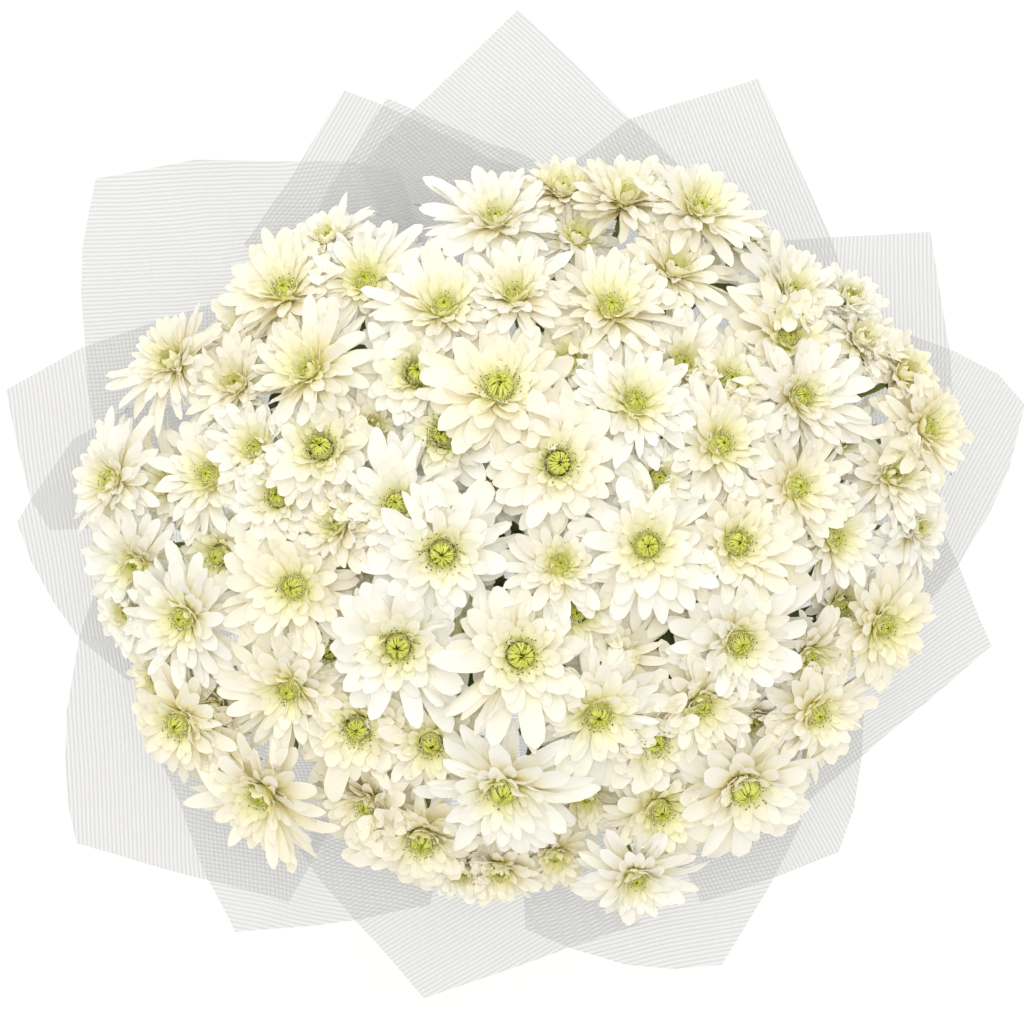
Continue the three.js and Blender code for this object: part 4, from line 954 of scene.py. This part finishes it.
# ---- leaves ---------------------------------------------------------------------------------------
LOBES_U = [0.0, 0.10, 0.20, 0.27, 0.33, 0.38, 0.43, 0.50, 0.57, 0.63, 0.68, 0.74, 0.80, 0.86, 0.93, 1.0]
LOBES_W = [0.07, 0.06, 0.08, 0.36, 0.60, 0.44, 0.40, 0.78, 0.98, 0.70, 0.52, 0.62, 0.72, 0.48, 0.34, 0.03]
for i, (k, x, y, z, az, el, roll, length, width) in enumerate(LEAVES):
    ex = np.array([math.cos(az) * math.cos(el), math.sin(az) * math.cos(el), math.sin(el)])
    flat = np.array([-math.sin(az), math.cos(az), 0.0])
    up = np.cross(ex, flat)
    ey = flat * math.cos(roll) + up * math.sin(roll)
    ez = np.cross(ex, ey)
    g = np.random.default_rng(SEED * 4000 + i)
    lu = np.interp(np.linspace(0, 1, 46), np.linspace(0, 1, len(LOBES_U)), LOBES_U)
    lw = np.interp(lu, LOBES_U, LOBES_W) * (1 + 0.06 * np.sin(lu * 90 + i))
    vs = np.linspace(-1, 1, 9)
    base = np.array([x, y, z])
    top, bot = [], []
    for u, w in zip(lu, lw):
        half = w * width / 2
        for v in vs:
            sag = -0.18 * u * u * length + 0.10 * abs(v) * half + 0.5 * math.sin(u * 21 + 2.2 * v + i) * abs(v) * min(1.0, half / 6)
            p = base + ex * (u * length + 0.9) + ey * (v * half) + ez * sag
            th = (0.55 if u < 0.18 else 0.16) * (1 - v * v) + (0.5 if abs(v) < 0.01 and u >= 0.18 else 0.0) * (1 - u)
            top.append(p + ez * 0.10)
            bot.append(p + ez * (0.10 - th) if abs(v) < 0.999 else None)
    nv, nu = len(vs), len(lu)
    index = {}
    verts = list(top)
    for m, p in enumerate(bot):
        index[m] = m if p is None else len(verts)
        if p is not None:
            verts.append(p)
    quads, tris = [], []
    for a in range(nu - 1):
        for c in range(nv - 1):
            f = (a * nv + c, (a + 1) * nv + c, (a + 1) * nv + c + 1, a * nv + c + 1)
            quads.append(f)
            quads.append(tuple(index[m] for m in f[::-1]))
    for a, flip in ((0, False), (nu - 1, True)):
        for c in range(nv - 1):
            f = [a * nv + c, a * nv + c + 1, index[a * nv + c + 1], index[a * nv + c]]
            f = [m for n_, m in enumerate(f) if m not in f[:n_]]
            f = f[::-1] if flip else f
            (quads if len(f) == 4 else tris).append(tuple(f))
    attr = [(lu[m // nv], (vs[m % nv] + 1) / 2, 0.0, 0.5) for m in range(len(top))]
    attr += [(lu[m // nv], (vs[m % nv] + 1) / 2, 0.0, 0.5) for m in range(len(top)) if bot[m] is not None]
    border = [m % nv in (0, nv - 1) for m in range(len(top))] + [False] * (len(verts) - len(top))
    b = Build()
    b.add(verts, quads, tris, attr, border, 0)
    ob = b.object("lobed_leaf_" + two(i), [LEAF])
    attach(ob, "root")
    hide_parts("leaf_" + two(i))


# ---- wrapping sheets ------------------------------------------------------------------------------
def mass_radius(th):
    c, s = np.cos(th), np.sin(th)
    a = c * c / MASS_A ** 2 + s * s / MASS_B ** 2
    b = -2 * (MASS_X * c / MASS_A ** 2 + MASS_Y * s / MASS_B ** 2)
    e = MASS_X ** 2 / MASS_A ** 2 + MASS_Y ** 2 / MASS_B ** 2 - 1
    return (-b + np.sqrt(b * b - 4 * a * e)) / (2 * a)


def collar_z(r, th):
    rf, h = mass_radius(th), COLLAR_TOP_Z - COLLAR_BOTTOM_Z
    k, t = FLARE_SLOPE * (rf - COLLAR_R) / h, (r - COLLAR_R) / (rf - COLLAR_R)
    inside = COLLAR_BOTTOM_Z + h * ((2 - k) * t + (k - 1) * t * t)
    return np.where(r > rf, COLLAR_TOP_Z + FLARE_SLOPE * (r - rf), inside)


def outline(name):
    rows = []
    for x, y in FLAPS[name]:
        th, d = math.atan2(512 - y, x - 512), math.hypot(512 - y, x - 512)
        r = PX * d
        for _ in range(3):
            r = d * 0.42 * (1720.0 - float(collar_z(np.array(r), np.array(th)))) / 1300.0
        rows.append([th, r])
    for i in range(1, len(rows)):
        while rows[i][0] - rows[i - 1][0] > math.pi:
            rows[i][0] -= 2 * math.pi
        while rows[i][0] - rows[i - 1][0] < -math.pi:
            rows[i][0] += 2 * math.pi
    return rows[::-1] if rows[0][0] > rows[-1][0] else rows


def reach(rows, t):
    for (a, ra), (b, rb) in zip(rows[:-1], rows[1:]):
        if a - 1e-9 <= t <= b + 1e-9 and b > a:
            x1, y1, x2, y2 = ra * math.cos(a), ra * math.sin(a), rb * math.cos(b), rb * math.sin(b)
            dx, dy, c, s = x2 - x1, y2 - y1, math.cos(t), math.sin(t)
            det = c * dy - s * dx
            if abs(det) > 1e-9:
                return (x1 * dy - y1 * dx) / det
    return 26.0


def pleats(th, r, z):
    """Folds that all layers share, in mm outwards: dense at the tie, fading towards the rim."""
    wobble = 1.1 * np.sin(3 * th + 0.4) + 0.7 * np.sin(7 * th + 1.9)
    fine = np.sin(34 * th + 2.1 * wobble + 0.006 * (r - 60))
    broad = np.sin(13 * th + 1.3 * wobble + 2.0)
    a_fine = np.interp(r, [20, 24, 34, 62, 100, 150, 200], [0.55, 1.0, 3.1, 5.2, 4.2, 1.6, 0.2])
    a_broad = np.interp(r, [20, 30, 70, 130, 190, 230], [0.0, 0.4, 2.6, 4.0, 2.0, 1.2])
    tail = np.where(z < WAIST_Z, 1.0, 1.0)
    return (a_fine * fine + a_broad * broad) * tail


cloth_area = {}
FLAT = [(0.34, 0.165), (0.34, 0.10), (0.34, 0.14), (0.34, 0.19), (0.34, 0.19), (0.34, 0.17), (0.34, 0.15), (0.34, 0.19)]
for s, (points, layer) in enumerate(SHEETS):
    b = Build()
    stripe = []
    for f, name in enumerate(points):
        rows = outline(name)
        lo, hi = rows[0][0], rows[-1][0]
        cols = sorted(set([row[0] for row in rows] + list(np.linspace(lo, hi, 84))))
        keep = [cols[0]]
        exact = [row[0] for row in rows]
        for c in cols[1:]:
            if c - keep[-1] > 0.006:
                keep.append(c)
            elif c in exact:
                keep[-1] = c
        cols = np.array(keep)
        out = np.array([max(26.0, reach(rows, c)) for c in cols])
        mid = 0.5 * (lo + hi)
        ts = np.concatenate([np.linspace(0, 0.3, 12) ** 1.1, np.linspace(0.33, 1, 22)])
        r = [np.full(len(cols), 32.0), np.full(len(cols), 28.0), np.full(len(cols), 23.5), np.full(len(cols), COLLAR_R), np.full(len(cols), COLLAR_R)]
        z = [np.full(len(cols), 138.0), np.full(len(cols), 146.0), np.full(len(cols), 156.0), np.full(len(cols), 163.0), np.full(len(cols), 172.0)]
        for t_ in ts:
            rr = COLLAR_R + (out - COLLAR_R) * t_
            r.append(rr)
            z.append(collar_z(rr, cols))
        r, z = np.array(r), np.array(z)
        th = np.broadcast_to(cols, r.shape)
        tr, tz = np.gradient(r, axis=0), np.gradient(z, axis=0)
        ln = np.hypot(tr, tz)
        loose = np.clip((r - COLLAR_R) / np.where(z > WAIST_Z, 22.0, 24.0), 0, 1)
        g = np.random.default_rng(SEED * 5000 + s * 10 + f)
        off = layer * (LAYER_STEP + (LAYER_SPREAD - LAYER_STEP) * loose) + f * (0.35 + 1.2 * loose) + 0.25
        off = off + pleats(th, r, z)
        rf = mass_radius(th)
        # free part beyond the flowers: a soft roll and a slight curl of the tip
        free = np.clip((r - rf * 0.86) / 60.0, 0, 1.3)
        off = off + free * (1.3 * np.sin(3.1 * (th - mid) * 4 + g.uniform(0, 6)) + 0.9 * np.sin(0.09 * r + g.uniform(0, 6)))
        off = off + free ** 2 * g.uniform(-2.0, 1.2)
        rr, zz = r + off * tz / ln, z - off * tr / ln
        v = np.stack([rr * np.cos(th), rr * np.sin(th), zz], -1)
        nr, nc = r.shape
        quads = [(i * nc + j, i * nc + j + 1, (i + 1) * nc + j + 1, (i + 1) * nc + j) for i in range(nr - 1) for j in range(nc - 1)]
        attr = np.stack([r / 240.0, (th - lo) / (hi - lo), np.full(r.shape, f * 1.0), np.full(r.shape, layer / 2)], -1)
        b.add(v, quads, [], attr, np.zeros(nr * nc, bool), 0)
        # stripes: plan coordinates beyond the flowers, length along the sheet below them
        seg = np.hypot(np.diff(r, axis=0), np.diff(z, axis=0))
        arc = np.concatenate([np.zeros((1, nc)), np.cumsum(seg, 0)])
        arc_rf = np.array([np.interp(rf[0, j], r[5:, j], arc[5:, j]) if r[-1, j] > rf[0, j] else arc[-1, j] + (rf[0, j] - r[-1, j]) for j in range(nc)])
        x = r * np.sin(th - mid)
        y = np.where(r > rf, r * np.cos(th - mid), rf * np.cos(th - mid) - (arc_rf[None] - arc))
        beta = math.radians(STRIPES[name]) - mid
        # mid direction is y, and x runs clockwise-positive with the angle
        stripe.append((x * math.cos(beta) - y * math.sin(beta)).ravel())
    ob = b.object("folded_mesh_sheet_%d" % (s + 1), [MESH], stripe=np.concatenate(stripe))
    cloth_area[s] = sum(p.area for p in ob.data.polygons)
    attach(ob, "root")
    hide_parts("wrap_sheet_%d" % (s + 1))
    flat = FLAT[s]
print("cloth areas", {k: round(v, 4) for k, v in cloth_area.items()})

# ---- tie ------------------------------------------------------------------------------------------
b = Build()
turns = 5
m = 96
for k in range(turns):
    a = np.arange(m) * 2 * np.pi / m
    z0 = WAIST_Z + (k - 2) * 2.25
    radius = 24.75 + 0.10 * np.sin(5 * a + k)
    path = np.stack([radius * np.cos(a), radius * np.sin(a), z0 + 0.25 * np.sin(2 * a + 1.3 * k)], -1)
    sides = 10
    ang = np.arange(sides) * 2 * np.pi / sides
    rows = []
    for i in range(m):
        e_r = np.array([math.cos(a[i]), math.sin(a[i]), 0.0])
        ply = 1.02 * (1 + 0.13 * np.cos(2 * (ang - 24 * a[i])))
        rows.append(path[i] + (ply * np.cos(ang))[:, None] * e_r + (ply * np.sin(ang))[:, None] * np.array([0, 0, 1.0]))
    v = np.concatenate(rows)
    quads = [(i * sides + e, i * sides + (e + 1) % sides, ((i + 1) % m) * sides + (e + 1) % sides, ((i + 1) % m) * sides + e)
             for i in range(m) for e in range(sides)]
    attr = np.stack([np.repeat(a / (2 * np.pi), sides), np.tile(ang / (2 * np.pi), m), np.zeros(m * sides), np.full(m * sides, 0.5)], -1)
    b.add(v, [q[::-1] for q in quads], [], attr, np.zeros(len(v), bool), 0)
# knot: two short loops across the turns, and two cut ends
for sgn in (-1, 1):
    t = np.linspace(0, 1, 26)
    path = np.stack([sgn * (2.2 - 4.4 * t), -(25.3 + 1.6 * np.sin(np.pi * t)), WAIST_Z - 4.8 + 9.6 * t], -1)
    tube(b, path, np.full(26, 0.95), 0, sides=8, twist=0.5)
    t = np.linspace(0, 1, 22)
    path = np.stack([sgn * (1.2 + 7.5 * t ** 1.3), -(26.2 + 1.2 * np.sin(2.4 * t)), WAIST_Z - 2.2 - 15 * t + 1.5 * np.sin(3 * t)], -1)
    tube(b, path, np.interp(t, [0, 0.93, 1], [0.95, 0.9, 1.05]), 0, sides=8, twist=0.5)
ob = b.object("twine_tie", [TWINE])
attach(ob, "root")
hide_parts("tie")

# ---- floor ----------------------------------------------------------------------------------------
me = bpy.data.meshes.new("floor")
w = 9.0
me.from_pydata([(-w, -w, -0.0005), (w, -w, -0.0005), (w, w, -0.0005), (-w, w, -0.0005)], [], [(0, 1, 2, 3)])
me.materials.append(FLOOR)
floor = bpy.data.objects.new("floor", me)
scene.collection.objects.link(floor)
